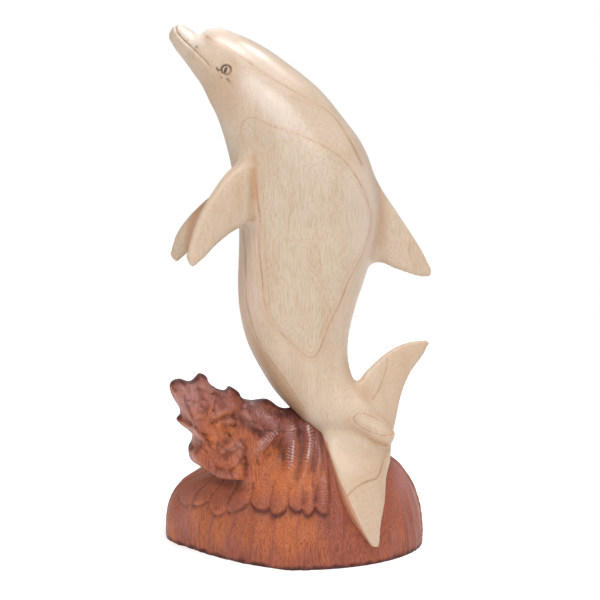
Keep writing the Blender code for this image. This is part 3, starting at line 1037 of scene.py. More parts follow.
    def eye_ink(self, x: Array, z: Array) -> Array:
        """How dark the eye's cuts are painted: the front and upper part of the ring most.

        Args:
            x: First coordinate in units.
            z: Height over the crown in units.

        Returns:
            The amount of ink.
        """
        dx, dz = x - self.eye[0], z - self.eye[1]
        upper = 0.42 + 0.55 * ease(dz - 0.45 * dx, -2.2, 0.8)
        ring = upper * bell(np.hypot(dx, dz) - self.eye_ring, 0.36)
        return np.maximum(ring, np.maximum(1.15 * self.pupil(x, z), 0.95 * self.wrinkles(x, z)))

    def wood_marks(self, skin: Skin) -> None:
        """Stores where the wood's growth lines and its heart lie, where shade and sheen are painted, and
        where the red-brown band at the lower lobe lies.

        On the right side the lines are shifted and stretched a little, because each side of a
        carving cuts the same growth rings elsewhere.

        Args:
            skin: The carved skin.
        """
        x, y, z = over_crown(skin.points)
        self.mark_lines(skin, x, y, z)
        # Painted shade: the grooves are darkened by how hollow they are.
        skin.mark("hollow", np.clip(skin.hollows(6) * 3.0, 0, 1))
        left = np.where(z > 158, ease(x, -44, -30), ease(x, -27, -18))
        skin.mark("polish", 0.10 + 0.72 * ease(z, 60, 140) * left + 0.45 * ease(z, 196, 206))
        # Painted shade, brownish: along the set paths, in the strip low on the belly, on the far flipper, at
        # the fluke's roots and on the near flipper.
        streak = near_path(x, z, self.far_shade_streak).gap
        lobe = 0.26 * ease(x, 46, 60) * ease(z, 46, 38) * ease(z, -24, -10)
        lower = 0.20 * ease(z, -14, -26) * ease(x, 52, 46)
        blade = 0.12 * ease(x, -28, -34) * ease(z, 150, 140)
        tan_shades = along_paths(x, z, self.tan_shade_paths)
        strip = self.strip_tan_shade * self.belly_shade_strip(x, y, z)
        tan_shades += [strip, 0.95 * bell(streak, 2.0) * (y > 5), lobe, lower, blade]
        # Painted shade on faces turned down.
        down = 0.22 * ease(skin.normals[:, 2], -0.25, -0.85)
        skin.mark("tan", np.clip(np.maximum.reduce(tan_shades) + down, 0, 1))
        # Painted sheen where the lights' highlights fall.
        skin.mark("pale_sheen", np.maximum.reduce(along_paths(x, z, self.sheen_paths)))
        # A red-brown band along the lower lobe's edge and where the lobe meets the wave.
        edge = near_path(x, z, self.band_edge).side
        face = MOUND.front_face(x * UNIT, z * UNIT + CROWN_HEIGHT) / UNIT
        bleed = np.clip((y - face + 3.6) / 2.0, 0, 1) * ease(x, 50, 44)
        band = np.maximum(np.clip(0.5 - edge / 3.0, 0, 1), bleed) * ease(z, -12, -16) * ease(y, -14, -18)
        skin.mark("stain", band)

    def grown(self, x: Array, y: Array, z: Array) -> tuple[Array, Array]:
        """x and z among the growth lines, shifted and stretched a little on the right side."""
        far = y > 2
        return np.where(far, x * 1.10 - 3, x), np.where(far, z * 0.94 + 8, z)

    def mark_lines(self, skin: Skin, x: Array, y: Array, z: Array) -> None:
        """Stores the distance to the nearest growth line, its strength, and the heart's oval.

        Args:
            skin: The carved skin.
            x: First coordinate of its points, in units.
            y: Second coordinate.
            z: Height over the crown.
        """
        u, v = self.grown(x, y, z)
        oval = near_path(u, v, smooth_path(self.growth_oval, 3, closed=True))
        inside = np.where(oval.side < 0, oval.gap, -oval.gap)
        paths = (self.belly_line, self.back_line, *self.small_lines)
        gaps = np.stack([oval.gap, *(near_path(u, v, smooth_path(path, 3)).gap for path in paths)])
        skin.mark("line_gap", gaps.min(axis=0))
        corner = 1 - 0.65 * bell(np.hypot((x + 30.0) / 9.0, (z - 154.0) / 14.0), 1.0)
        skin.mark("line_ink", np.array(self.line_strengths)[gaps.argmin(axis=0)] * corner)
        skin.mark("heart", ease(inside, -1.0, 2.5))

    def belly_shade_strip(self, x: Array, y: Array, z: Array) -> Array:
        """1 in the strip low on the belly, outside its growth line, where shade is painted."""
        belly = near_path(*self.grown(x, y, z), smooth_path(self.belly_line, 3))
        return ease(belly.side, 0.4, -1.5) * ease(x, 8, 0) * ease(z, 104, 50) * ease(belly.gap, 26, 18)

    def build(self, material: bpy.types.Material) -> bpy.types.Object:
        """Builds, carves and dresses the figure.

        Args:
            material: The pale wood.

        Returns:
            The shown piece.
        """
        skin = Skin.of_shells(self.shells(), self.voxel)
        skin.relax(4)
        skin.relax(60, self.root_weight(skin), hold=0.0)
        aside = np.abs(over_crown(skin.points)[1])
        skin.relax(150, skin.along(self.collar, 6.0) * ease(aside, 6, 10), hold=0.0)
        skin.relax(60, skin.along(self.knee, 6.0), hold=0.45)
        skin.relax(4)
        x, _, z = over_crown(skin.points)
        lips = near_path(x, z, self.mouth).gap
        eye = np.hypot(x - self.eye[0], z - self.eye[1])
        skin.refine((z > 180) & ((lips < 2.8) | (eye < 6.5)), 2)
        skin.relax(3, ease(over_crown(skin.points)[2], 178, 182))
        self.carve(skin)
        z = over_crown(skin.points)[2]
        skin.relax(8, skin.along(self.band_edge, 1.6) * ease(z, -12, -18))
        self.wood_marks(skin)
        return skin.finish("dolphin_carving", "dolphin", Wood.PALE, material)


@dataclass(frozen=True)
class Gouging:
    """What the gouge left at each point of the wave, for the stain and its painted shade and sheen to follow.

    Shares from 0 to 1 say where the points are on the mound, on the crest, and in its
    chiselled front. Tones and between are those of the chisel cuts, height is the strokes' in
    metres, ripple and walked say where and how they are rippled, and under is the nook below
    the tongues.
    """

    on_mound: Array
    crest: Array
    chiselled: Array
    tones: Array
    between: Array
    height: Array
    ripple: Array
    walked: Array
    under: Array


@dataclass
class Wave:
    """The base: mound, crest and the bed behind the fluke in one skin, then its gouge cuts."""

    voxel: float = 0.00086
    back_reeds: int = 23
    reed_depth: float = 0.0015
    reed_unevenness: float = 0.16
    petal_depth: float = 0.0016
    facet_depth: float = 0.0014
    facet_count: int = 41
    step_depth: float = 0.0019
    skirt_share: float = 0.872
    tongue_share: float = 0.040
    cusps: Path = (
        (-60.2, -45.6), (-50.6, -47.6), (-42, -49.8), (-29.1, -43.4), (-19, -45.4), (-9.1, -42.3),
        (-0.7, -44.7), (6, -43.5), (14.2, -45),
    )
    crest_y: float = -0.0150
    crest_front: float = 0.0250
    crest_back: float = 0.0200
    crest_roundness: float = 2.6
    crest_thinning: float = 0.55
    crest_swell: float = 0.16
    crest_sides: int = 420
    crest_rings: int = 44
    crest_calm: int = 34
    crest_sharpening: float = 0.8
    foot_fade: tuple[float, float] = (0.0002, 0.0020)
    foot_level: float = 0.0006
    mound_rings: int = 90
    mound_sides: int = 480
    bevel_width: float = 0.0085
    bed_depth: float = 0.0180
    bed_inset: float = 0.06
    bed_rounding: float = 0.0050
    bed_fullness: float = 2.3
    apron_fullness: float = 4.5
    chisel_columns: int = 12
    chisel_rows: int = 6
    chisel_tilt: tuple[float, float] = (0.34, 0.20)
    chisel_lean: float = 0.55
    chisel_x: tuple[float, float, float] = (-76.0, 6.0, 3.2)
    chisel_z: tuple[float, float, float] = (-37.0, 21.0, 5.5)
    crease_depth: float = 0.0006
    ripple_top: float = 1.35
    rippled_from: float = 0.8
    vein_lip: float = 0.7
    vein_cut: float = 0.4
    tip_lift: float = 0.0005
    unevenness: float = 0.00012
    tone_warm: float = 0.25
    tone_dusk: float = 0.22
    # How much the chisel cuts' tones change the painted sheen, and how much sheen is painted on the crest's
    # raised strokes.
    tone_sheen: float = 0.6
    ridge_sheen: float = 0.50
    # Strengths of the painted shade along the chisel cuts' borders, in the cut strokes and under the tongues.
    line_shade: float = 0.30
    cut_shade: float = 0.55
    under_shade: float = 0.8
    crest_core: tuple[float, float] = (-38.2, -10.5)
    crest_outline: Path = (
        (-1, 1.4), (-7.3, 1.9), (-11.3, 3.4), (-14.9, 6.6), (-18.2, 7.9), (-21.9, 7.3),
        (-25.7, 6.5), (-29.6, 6.8), (-31.8, 8.2), (-33.3, 11.6), (-36.4, 14.2), (-39.4, 15.6),
        (-40.4, 13.4), (-42, 12.8), (-45.4, 13.3), (-49, 15.6), (-50.9, 18), (-51.4, 20.4),
        (-53.3, 22.6), (-56.1, 23.4), (-57.3, 22.4), (-60.3, 19.4), (-63.5, 19), (-67.4, 20.4),
        (-71.1, 19.7), (-72.9, 17), (-71.8, 12.3), (-69.3, 7.1), (-67.2, 3.3), (-67.2, -0.4),
        (-69.1, -2.5), (-66.8, -5.4), (-63.8, -8.1), (-60.7, -9.8), (-60.1, -12.9), (-61, -16.9),
        (-62.7, -19.5), (-62.3, -24.2), (-60.1, -27.4), (-55.7, -30.2), (-52.1, -32.6), (-47, -36),
        (-41.5, -37.4), (-36, -38), (-30, -37.6), (-24, -36.5), (-13, -32), (0, -22),
        (7.6, -8.7),
    )
    apron: Table = (
        (-38, -24.5, -1, -7, -14.5, -1, 7),
        (-38, -26.5, -10, -2, -16, -10, 7.5),
        (-38, -29, -20, 0, -18.5, -20, 8),
        (-37, -29, -28, 2, -23, -28, 8),
        (-32, -29, -38, 2, -30, -38, 8),
    )
    seams: tuple[tuple[Path, float, int], ...] = (
        (((-24, -42), (-12, -36), (0, -26), (8, -12)), 6, 60),
        (((-31.5, 3), (-31.5, -8), (-31.5, -18)), 4, 50),
    )
    lump: Table = ((46, -17, 12, 10, 1),)
    strokes: tuple[Stroke, ...] = (
        Stroke(((-31, 7.5), (-27.4, 5.3), (-23.5, 3.5), (-19.2, 0.5), (-14.2, -3.5), (-10.7, -5.5)),
               1.6, 1.5, 0.50),
        Stroke(((-10.7, -5), (-16.1, -9.3), (-20.8, -13.4), (-25.4, -17.2)), 1.8, 2.2, 1),
        Stroke(((-5, -3.5), (-4.4, -13.5), (-5.6, -20.5), (-6.9, -28)), 2.1, 2.1, 1),
        Stroke(((4, -4), (6.6, -13.4), (4.6, -19.6), (2, -26)), 1.9, 2, 1),
        Stroke(((10.6, -13), (9.8, -23.9), (8, -31.5)), 1.5, 1.3, 0.25),
        Stroke(((0.6, -27), (-1.3, -34.7), (-2.4, -43)), 1.6, 1.1, 0.3),
        Stroke(((12, -30.5), (11.1, -38.5), (10.4, -47.5)), 1.7, 1.5, 0.4),
        Stroke(((5.2, -34), (3.9, -41.3), (3, -48)), 1.5, 1, 0.25),
        Stroke(((-65.5, 12.5), (-59.6, 14.6), (-51, 15), (-44.4, 10.9), (-38.6, 7.7), (-33.4, 4.9),
                (-26.3, 0.7)), 1, 0.8),
        Stroke(((-54.5, 13.4), (-47.5, 11.5), (-41.5, 6.8)), 0.8, -0.5),
        Stroke(((-48.5, 8.5), (-46, 4), (-45.5, -2)), 1, 0.5),
        Stroke(((-63.9, 12), (-63.6, 5), (-61.2, -3.5)), 1.3, -1.3),
        Stroke(((-31.6, -12.5), (-31, -19.3), (-30.9, -34)), 1.2, -0.5),
        Stroke(((-39.5, 7.2), (-34.5, 3), (-29.7, -0.9), (-21.9, -7.5), (-17.5, -12.5)), 1.8, -1.9),
        Stroke(((-13.6, -11), (-11.6, -19)), 1.6, -1),
        Stroke(((-9.2, -9.5), (-9.8, -17), (-10.3, -25)), 1.3, -1.2),
        Stroke(((1.3, -6.5), (1, -16), (-1.6, -26), (-4.6, -34)), 1.4, -1.4),
        Stroke(((8.8, -9), (7.8, -20), (5, -30)), 1.2, -1.2),
        Stroke(((7.6, -34), (7, -45)), 1.1, -0.9),
        Stroke(((1, -36), (0.4, -46)), 1.1, -0.8),
        Stroke(((-37, -6), (-41, -9.5), (-45, -13.4)), 1.6, -1.1),
        Stroke(((-40.5, -14.5), (-43.5, -17.5), (-47.5, -19)), 1.3, -0.9),
        Stroke(((-58.2, 9.6), (-57, 9.4)), 1.7, 1.2),
        Stroke(((-60.8, 8.5), (-58.9, 12.7), (-56.1, 13.9), (-53.2, 12.7), (-52, 8.9), (-54.5, 6.2),
                (-57.6, 6.5)), 0.8, -0.9),
        Stroke(((-51.5, -0.8), (-46.5, 2), (-40.5, 3.9), (-34.5, 2.2)), 0.9, -1.1),
        Stroke(((-52, 2.2), (-46.5, 4.8), (-40.5, 6.6), (-35.5, 6)), 1.2, 1),
        Stroke(((-34.5, 5.4), (-29.5, 5.7), (-25.5, 6.2)), 0.8, -1.1),
        Stroke(((-45.5, -18), (-41.6, -13.6), (-38, -10.8), (-34.2, -13.4), (-33.8, -20)),
               1.1, 1.2),
        Stroke(((-44, -22), (-40, -17.5), (-37.6, -15)), 1, -0.9),
        Stroke(((-28, -1), (-22.5, -5), (-17, -8.5), (-13, -9)), 0.9, 1, 0.3),
        Stroke(((-50.5, 11.9), (-48, 11.2)), 2.4, 1),
        Stroke(((-37.6, -12.6), (-36.4, -14.8)), 2.6, 1.4, 0.6),
        Stroke(((-36.6, -18), (-36.4, -23), (-36.6, -27.5)), 2.1, 0.9),
        Stroke(((-52.5, -27), (-46, -29.5), (-40, -31), (-34, -31.5)), 1.3, 0.8),
    )
    crease: Path = ((14.2, -16), (14.6, -24), (14.2, -34), (13.4, -44), (13, -54), (12.2, -64))
    warm_spots: Table = (
        (-17, -27, 11, 13, 0.9), (-39, -3, 7, 8, 1), (-37, -23, 3.5, 5.5, 0.8),
        (-51, -14, 7, 12, 0.45), (-20, -62, 30, 9, 0.75), (2, -60, 12, 10, 0.4),
        (-44, -42, 10, 5, 0.6), (-37, -7, 5, 6, 0.8), (-2, -36, 9, 8, 0.5),
        (46, -62, 12, 9, 0.25), (-61, -57, 9, 14, 0.60),
    )
    # Dusky spots of the stain; those under the dolphin's belly are painted shadow.
    dusk_and_shade_spots: Table = (
        (-28, 1, 7, 5, 0.9), (-14, 0, 10, 5, 0.9), (3, -8, 9, 6, 0.9),
        (-31, -24, 2.2, 9, 0.5), (-64, -40, 9, 10, 0.3), (58, -38, 9, 12, 0.3),
        (-42, -15, 5, 3, 0.5), (-57, 14, 8, 5, 0.3), (13, -52, 3, 9, 0.6),
        (21, -44, 5, 16, 0.45), (-41, 11, 5, 4, 0.4),
    )
    # Painted sheen: pinkish highlights where the lacquer catches the light, on the right shoulder, the
    # crest's top and the skirt's left end.
    sheen_spots: Table = (
        (61, -36, 5.5, 12, 0.7), (-58, 13, 9, 4.5, 0.8), (-65, 15, 5, 5, 0.5),
        (-48, 10, 5, 3.5, 0.3), (-27, 3, 6, 3, 0.6), (-68, -52, 6, 14, 0.55),
        (-60, -2, 3, 9, 0.4),
    )
    # Painted shadows: under the dolphin's belly, under the crest's lip and beside the lower lobe.
    shadow_spots: Table = (
        (-6, 1.5, 7, 2, 1), (3, -2.5, 5, 2.5, 0.8), (-24, 6.5, 6, 1.3, 0.6),
        (-60, -31, 8, 2, 0.7), (-46, -39.5, 10, 1.6, 0.6), (12, -14, 1.6, 7, 0.6),
    )

    def crest_shell(self) -> Shell:
        """The crest: rings between its core and its ragged outline, bevelled in front.

        A ring at share s lies at core + (outline - core) s, where the outline calms down
        towards the core with the sixth power of s. Its depth in front is nearly flat up to the
        bevel and falls from there to the edge, and on the back it is the superellipse of s.

        Returns:
            The closed grid.
        """
        curve = np.array(smooth_path(self.crest_outline, 8, closed=True)) * UNIT
        curve[:, 1] += CROWN_HEIGHT
        walked = np.concatenate([[0.0], np.cumsum(np.linalg.norm(np.diff(curve, axis=0), axis=1))])
        even = np.linspace(0, walked[-1], self.crest_sides, endpoint=False)
        ragged = np.stack([np.interp(even, walked, side) for side in curve.T], axis=-1)
        core = np.array(self.crest_core) * UNIT + (0, CROWN_HEIGHT)
        turns = range(-self.crest_calm, self.crest_calm + 1)
        calm = sum(np.roll(ragged, turn, axis=0) for turn in turns) / len(turns)
        reach = np.linalg.norm(ragged - core, axis=1)
        low = ease(ragged[:, 1] - core[1], 0.0, -0.012)
        start = 1 - self.bevel_width * (1 - 0.45 * low) / reach
        front = np.sin(np.linspace(0.06, math.pi / 2, self.crest_rings))[:, None]
        inner = 1 - self.crest_swell * (front / start) ** 2
        power = 1.15 + 0.9 * low
        outer = 1 - ((front - start) / (1 - start)).clip(0, 1) ** power
        outer = (1 - self.crest_swell) * np.maximum(outer, 0)
        depth_front = -self.crest_front * np.where(front < start, inner, outer)
        back = front[::-1]
        depth_back = self.crest_back * (1 - back**self.crest_roundness) ** (1 / self.crest_roundness)
        shares = np.concatenate([front, back[1:]])
        depths = np.concatenate([depth_front, np.broadcast_to(depth_back[1:], (len(back) - 1, len(ragged)))])
        weight = shares[..., None] ** 6
        flat = core + (ragged * weight + calm * (1 - weight) - core) * shares[..., None]
        along = np.clip((flat[..., 0] - core[0]) / (0.0080 - core[0]), 0, 1)
        y = self.crest_y + depths * (1 - self.crest_thinning * along)
        grid = np.stack([flat[..., 0], y, flat[..., 1]], axis=-1)
        first = np.array([core[0], self.crest_y - self.crest_front, core[1]])
        last = np.array([core[0], self.crest_y + self.crest_back, core[1]])
        return Shell(grid, first, last).outward()

    def apron_shell(self) -> Shell:
        """The slope between the crest's right part and the tongues: a full, flat loft."""
        rows = np.array([(*row, 0.0, self.apron_fullness) for row in self.apron])
        return loft(metre_rows(rows), 8, 56, (4.0 * UNIT, 5.0 * UNIT))

    def bed_shell(self, figure: Dolphin) -> Shell:
        """Wood that fills the space behind the root of the fluke's lower lobe.

        Args:
            figure: The dolphin, whose lobe's sections are set back and inset.

        Returns:
            The closed loft.
        """
        first = len(figure.upper_lobe) - 1
        rows = figure.fluke_rows()[first : first + 5]
        lead, trail = rows[:, 0:3].copy(), rows[:, 3:6].copy()
        rows[:, 0:3] = lead + (trail - lead) * self.bed_inset
        rows[:, 3:6] = trail + (lead - trail) * self.bed_inset
        rows[:, [1, 4]] += self.bed_depth / 2
        rows[:, 6] = self.bed_depth / 2
        rows[:, 8] = self.bed_fullness
        return loft(rows, 6, 40, (self.bed_rounding, self.bed_rounding))

    def tongue_edges(self) -> tuple[Array, Array]:
        """Directions and shares of the points between the tongues, all round the wave.

        In front they are the measured cusps. Behind they are evenly spaced along the foot with
        a small unevenness.

        Returns:
            Directions in rising order from the right one of the front cusps, over a full turn,
            and the shares of the way to the edge at which the cusps lie.
        """
        x, z = np.array(self.cusps).T * UNIT
        z = z + CROWN_HEIGHT
        front_turn, front_share = MOUND.polar(x, MOUND.front_face(x, z))
        front_turn = np.mod(front_turn, 2 * math.pi)
        turns = np.linspace(front_turn[-1], front_turn[0] + 2 * math.pi, 1201)
        edge_x, edge_y = MOUND.foot_edge(turns)
        walked = np.concatenate([[0.0], np.cumsum(np.hypot(np.diff(edge_x), np.diff(edge_y)))])
        numbers = np.arange(1, self.back_reeds)
        uneven = self.reed_unevenness * np.sin(1.7 * numbers)
        behind = np.interp((numbers + uneven) / self.back_reeds * walked[-1], walked, turns)
        behind_share = self.skirt_share + 0.012 * np.sin(2.4 * numbers)
        turns = np.concatenate([front_turn[-1:], behind, front_turn + 2 * math.pi])
        shares = np.concatenate([front_share[-1:], behind_share, front_share])
        return turns, shares

    def facet_place(self, points: Array, turn: Array, share: Array) -> Array:
        """Numbers the skirt's facets: whole at their borders, wandering a little with height.

        Args:
            points: The skin's points.
            turn: Their directions on the mound.
            share: Their shares of the way from the crown to the edge.

        Returns:
            The place along the row of facets.
        """
        drift = turn + 0.10 * share**2 + 0.012 * np.sin(points[:, 2] * 160 + 5 * turn)
        place = np.mod(drift, 2 * math.pi) / (2 * math.pi) * self.facet_count
        return place + 0.22 * np.sin(2.1 * place)

    def gouge_relief(self, points: Array, turn: Array, share: Array) -> tuple[Array, Array]:
        """Height of the gouge work on the mound in metres, and the nooks under the tongues.

        Across a tongue the surface is the arc sqrt(1 - (2p - 1)^2), with p the share of the way
        across it. The tongues end in rounded tips, and below them the skirt lies one step
        deeper, cut in narrow upright hollows with crisp edges: a hollow's height is
        (2p - 1)^2 - 1.

        Args:
            points: The skin's points.
            turn: Their directions on the mound.
            share: Their shares of the way from the crown to the edge.

        Returns:
            The height along the normal and the amount of nook for each point.
        """
        edges, edge_shares = self.tongue_edges()
        wrapped = edges[0] + np.mod(turn - edges[0], 2 * math.pi)
        number = np.clip(np.searchsorted(edges, wrapped, side="right") - 1, 0, len(edges) - 2)
        across = np.clip((wrapped - edges[number]) / (edges[number + 1] - edges[number]), 0.001, 0.999)
        swell = np.sqrt(1 - (2 * across - 1) ** 2)
        cusp = edge_shares[number] * (1 - across) + edge_shares[number + 1] * across
        end = cusp + self.tongue_share * (0.85 + 0.25 * np.sin(2.4 * number)) * swell
        front = ease(-np.sin(turn), 0.05, 0.35) * ease(np.cos(turn), 0.28, 0.20)
        behind = ease(np.sin(turn), 0.15, 0.5)
        right = 1 - np.maximum(front, behind)
        petal = self.petal_depth * front * ease(share, 0.66, 0.84)
        petal += self.reed_depth * behind * ease(share, 0.2, 0.6)
        tongues = petal * (swell - 1) + self.tip_lift * front * ease(share, end - 0.10, end - 0.01)
        below = MOUND.height(turn, end) - points[:, 2]
        fall = ease(below, -0.0003, 0.0013)
        left = ease(np.cos(turn), -0.35, -0.75)
        step = self.step_depth * (front * (1 - 0.50 * left) + 0.35 * behind)
        recover = 1 - ease(share, 0.90, 1.0)
        place = self.facet_place(points, turn, share)
        hollow = (2 * np.mod(place, 1.0) - 1) ** 2 - 1
        strength = 0.75 + 0.35 * np.sin(1.9 * np.floor(place))
        facets = self.facet_depth * strength * hollow
        smooth_side = 0.75 * facets * right * ease(share, 0.35, 0.6)
        relief = tongues * (1 - fall) + fall * (facets * (front + behind) - step * recover)
        under = front * (1 - 0.3 * left) * ease(below, 0.0002, 0.0010) * ease(below, 0.0042, 0.0012)
        under *= ease(swell, 0.1, 0.6)
        return relief + smooth_side, under

    def chisel_cuts(self, points: Array) -> tuple[Array, Array, Array]:
        """Flat cuts of a broad chisel: each point follows the tilted plane of its nearest cut.

        The cuts' middles lie on a grid shaken at random. Nearness counts height by half and
        leans, so that the cuts are long and slope down to the right. A cut's plane rises from
        its middle with its own random tilt.

        Args:
            points: The skin's points.

        Returns:
            The height in metres, the cut's tone from -1 to 1, and 1 on the lines between cuts.
        """
        chance = np.random.default_rng(11)
        shape = (self.chisel_columns, self.chisel_rows)
        (left, right, shake_x), (low, high, shake_z) = self.chisel_x, self.chisel_z
        middle_x = np.linspace(left, right, shape[0])[:, None] + chance.uniform(-shake_x, shake_x, shape)
        middle_z = np.linspace(low, high, shape[1])[None] + chance.uniform(-shake_z, shake_z, shape)
        tilts = chance.uniform(-1.0, 1.0, (middle_x.size, 2)) * self.chisel_tilt
        tones = chance.uniform(-1.0, 1.0, middle_x.size)
        bent = 2.2 * slow_noise(points, 0.012, 8)
        x, _, z = over_crown(points)
        across = (x + bent)[:, None] - middle_x.ravel()
        along = z[:, None] - middle_z.ravel()
        reach = np.hypot(across + self.chisel_lean * along, 0.5 * along)
        nearest = reach.argmin(axis=1)
        first, second = np.partition(reach, 1, axis=1)[:, :2].T
        chosen = np.arange(len(points)), nearest
        height = across[chosen] * tilts[nearest, 0] + along[chosen] * tilts[nearest, 1]
        return height * UNIT, tones[nearest], bell(second - first, 0.55)

    def front_work(self, points: Array, normals: Array) -> tuple[Array, Array, Array]:
        """The strokes of the front: their height, and where and how they are rippled.

        Args:
            points: The skin's points.
            normals: Their normals.

        Returns:
            The height in metres, the strength of the ripples, and the length walked in units.
        """
        x, _, z = over_crown(points)
        facing = ease(-normals[:, 1] + 0.45 * normals[:, 2], 0.05, 0.40) * ease(points[:, 1], -0.008, -0.014)
        height = np.zeros(len(x))
        ripple = np.zeros(len(x))
        walked = np.zeros(len(x))
        for stroke in self.strokes:
            strength, length = stroke.strength(x, z)
            flat_top = self.ripple_top if stroke.ripple > self.rippled_from else 1.0
            height += stroke.height * np.minimum(flat_top * strength, 1.0)
            rippled = stroke.ripple * strength
            walked = np.where(rippled > ripple, length, walked)
            ripple = np.maximum(ripple, rippled)
        edge = near_path(x, z, self.crease)
        tall = ease(z, -14, -23) * ease(z, -66, -52)
        height += self.vein_lip * ease(edge.side, 0.8, -0.5) * ease(edge.gap, 4.0, 0.5) * tall
        height -= self.vein_cut * bell(edge.side - 0.8, 0.8) * ease(edge.gap, 3.0, 1.0) * tall
        return facing * height * UNIT, facing * ripple, walked

    def colour_zones(self, points: Array, normals: Array) -> tuple[Array, Array, Array]:
        """Where the stain is orange or dusky, and where pinkish sheen is painted: sums of soft spots, and
        tones by facet.
        The dusky amount is also painted by facing and shade: darker on faces turned up, under the belly and
        below the tongues' tips.

        Args:
            points: The skin's points.
            normals: Their normals.

        Returns:
            The three amounts from 0 to 1.
        """
        x, _, z = over_crown(points)
        front = ease(points[:, 1], 0.004, -0.010)
        spread = slow_noise(points, 0.030, 5)
        warm, dusk_and_shade, painted_sheen = (
            np.clip(soft_spots(x, z, spots), 0, 1) * front
            for spots in (self.warm_spots, self.dusk_and_shade_spots, self.sheen_spots)
        )
        warm = np.maximum(warm, 0.45 * (1 - front) * ease(spread, -0.2, 0.9))
        # Painted by facing: faces turned up are made duskier, to go with the sky's reflection on the lacquer.
        up = ease(normals[:, 2], 0.35, 0.75) * ease(z, -40, -10)
        turn, share = MOUND.polar(points[:, 0], points[:, 1])
        place = self.facet_place(points, turn, share)
        panel = 0.5 + 0.5 * np.sin(7.3 * np.floor(place))
        border = bell(np.mod(place + 0.5, 1.0) - 0.5, 0.06)
        side = ease(points[:, 0], 0.038, 0.048)
        # Painted shade in a band just under the tongues' tips.
        tips = 0.55 * ease(z, -36, -46) * ease(z, -53, -49) * ease(x, 16, 10)
        tone = (0.45 * panel + 0.60 * border) * np.maximum(ease(z, -47, -54), 0.7 * side * ease(z, -8, -20))
        dusk_and_shade = np.maximum(dusk_and_shade, 0.8 * up) + tone + tips * front
        return np.clip(warm + 0.15 * spread, 0, 1), np.clip(dusk_and_shade, 0, 1), painted_sheen

    def painted_shade(self, points: Array, normals: Array, crest: Array) -> Array:
        """Where nearly black shade is painted: shadows under the belly, under the crest and by the lobe, the
        crest's rim, and a band along the foot.

        Args:
            points: The skin's points.
            normals: Their normals.
            crest: 1 on the crest, 0 on the mound.

        Returns:
            The amount from 0 to 1.
        """
        x, y, z = over_crown(points)
        spots = soft_spots(x, z, self.shadow_spots)
        rim = 0.9 * crest * ease(y, -20.5, -16.5) * ease(normals[:, 2], -0.1, 0.5) * ease(y, -9, -14)
        ragged = 0.0024 + 0.0005 * slow_noise(points, 0.007, 12)
        foot = 0.95 * ease(points[:, 2], ragged, ragged - 0.0014)
        return np.maximum.reduce([spots * ease(y, -4, -12), rim, foot])

    def soften(self, skin: Skin, figure: Dolphin) -> tuple[Array, Array]:
        """Fillets where the base's forms meet, by rounds of smoothing near the seams.

        Args:
            skin: The joined forms.
            figure: The dolphin, whose lower lobe lies on the wave.

        Returns:
            x and z of the points before the fillets, in units over the crown.
        """
        skin.relax(1)
        points = skin.points
        x, _, z = over_crown(points)
        in_front = ease(points[:, 1], -0.012, -0.020)
        skin.relax(24, bell(near_path(x, z, figure.band_edge).gap, 2.6) * in_front)
        for path, width, rounds in self.seams:
            skin.relax(rounds, bell(near_path(x, z, path).gap, width) * in_front, hold=0.0)
        lump = soft_spots(x, z, self.lump) * ease(points[:, 1], -0.032, -0.026)
        skin.relax(160, lump, hold=0.0)
        return x, z

    def carve(self, skin: Skin, x: Array, z: Array) -> Gouging:
        """Cuts the tongues, facets, strokes and chisel cuts, then levels the foot.

        The crest is sharpened after the cuts: what a light smoothing takes off is added to the
        carved points in part.

        Args:
            skin: The softened forms.
            x: First coordinate of its points before the fillets, in units.
            z: Height over the crown.

        Returns:
            What the gouge left at each point.
        """
        points, normals = skin.points, skin.normals
        turn, share = MOUND.polar(points[:, 0], points[:, 1])
        off = np.abs(points[:, 2] - MOUND.height(turn, share))
        steep = 0.012 * ease(share, 0.8, 1.0)
        lifted = ease(points[:, 2], *self.foot_fade)
        on_mound = ease(off, 0.0045 + steep, 0.0020 + steep) * lifted
        crest = ease(off, 0.004, 0.009) * ease(points[:, 0], 0.012, 0.002)
        height, ripple, walked = self.front_work(points, normals)
        tall = points * (1.0, 1.0, 0.5)
        creases = np.abs(slow_noise(tall, 0.013, 3)) + 0.35 * np.abs(slow_noise(tall, 0.006, 4)) - 0.7
        rough = crest * ease(-normals[:, 1], 0.2, 0.6) * (self.crease_depth * creases)
        cuts, tones, between = self.chisel_cuts(points)
        chiselled = crest * ease(-normals[:, 1] + 0.5 * normals[:, 2], 0.2, 0.6)
        chiselled *= np.maximum(ease(x, -29, -33), 0.7 * ease(z, -12, -6)) * ease(z, -42, -37)
        chiselled *= ease(points[:, 1] / UNIT, -14.5, -19.0)
        rough += chiselled * cuts + self.unevenness * slow_noise(points, 0.011, 21) * lifted
        gouged, under = self.gouge_relief(points, turn, share)
        skin.push(on_mound * gouged + height + rough)
        carved = skin.points
        skin.relax(4, crest * ease(carved[:, 2], 0.030, 0.036), hold=0.0)
        carved += self.crest_sharpening * (carved - skin.points)
        carved[:, 2] = np.where(carved[:, 2] < self.foot_level, 0.0, carved[:, 2])
        skin.points = carved
        return Gouging(on_mound, crest, chiselled, tones, between, height, ripple, walked, under)

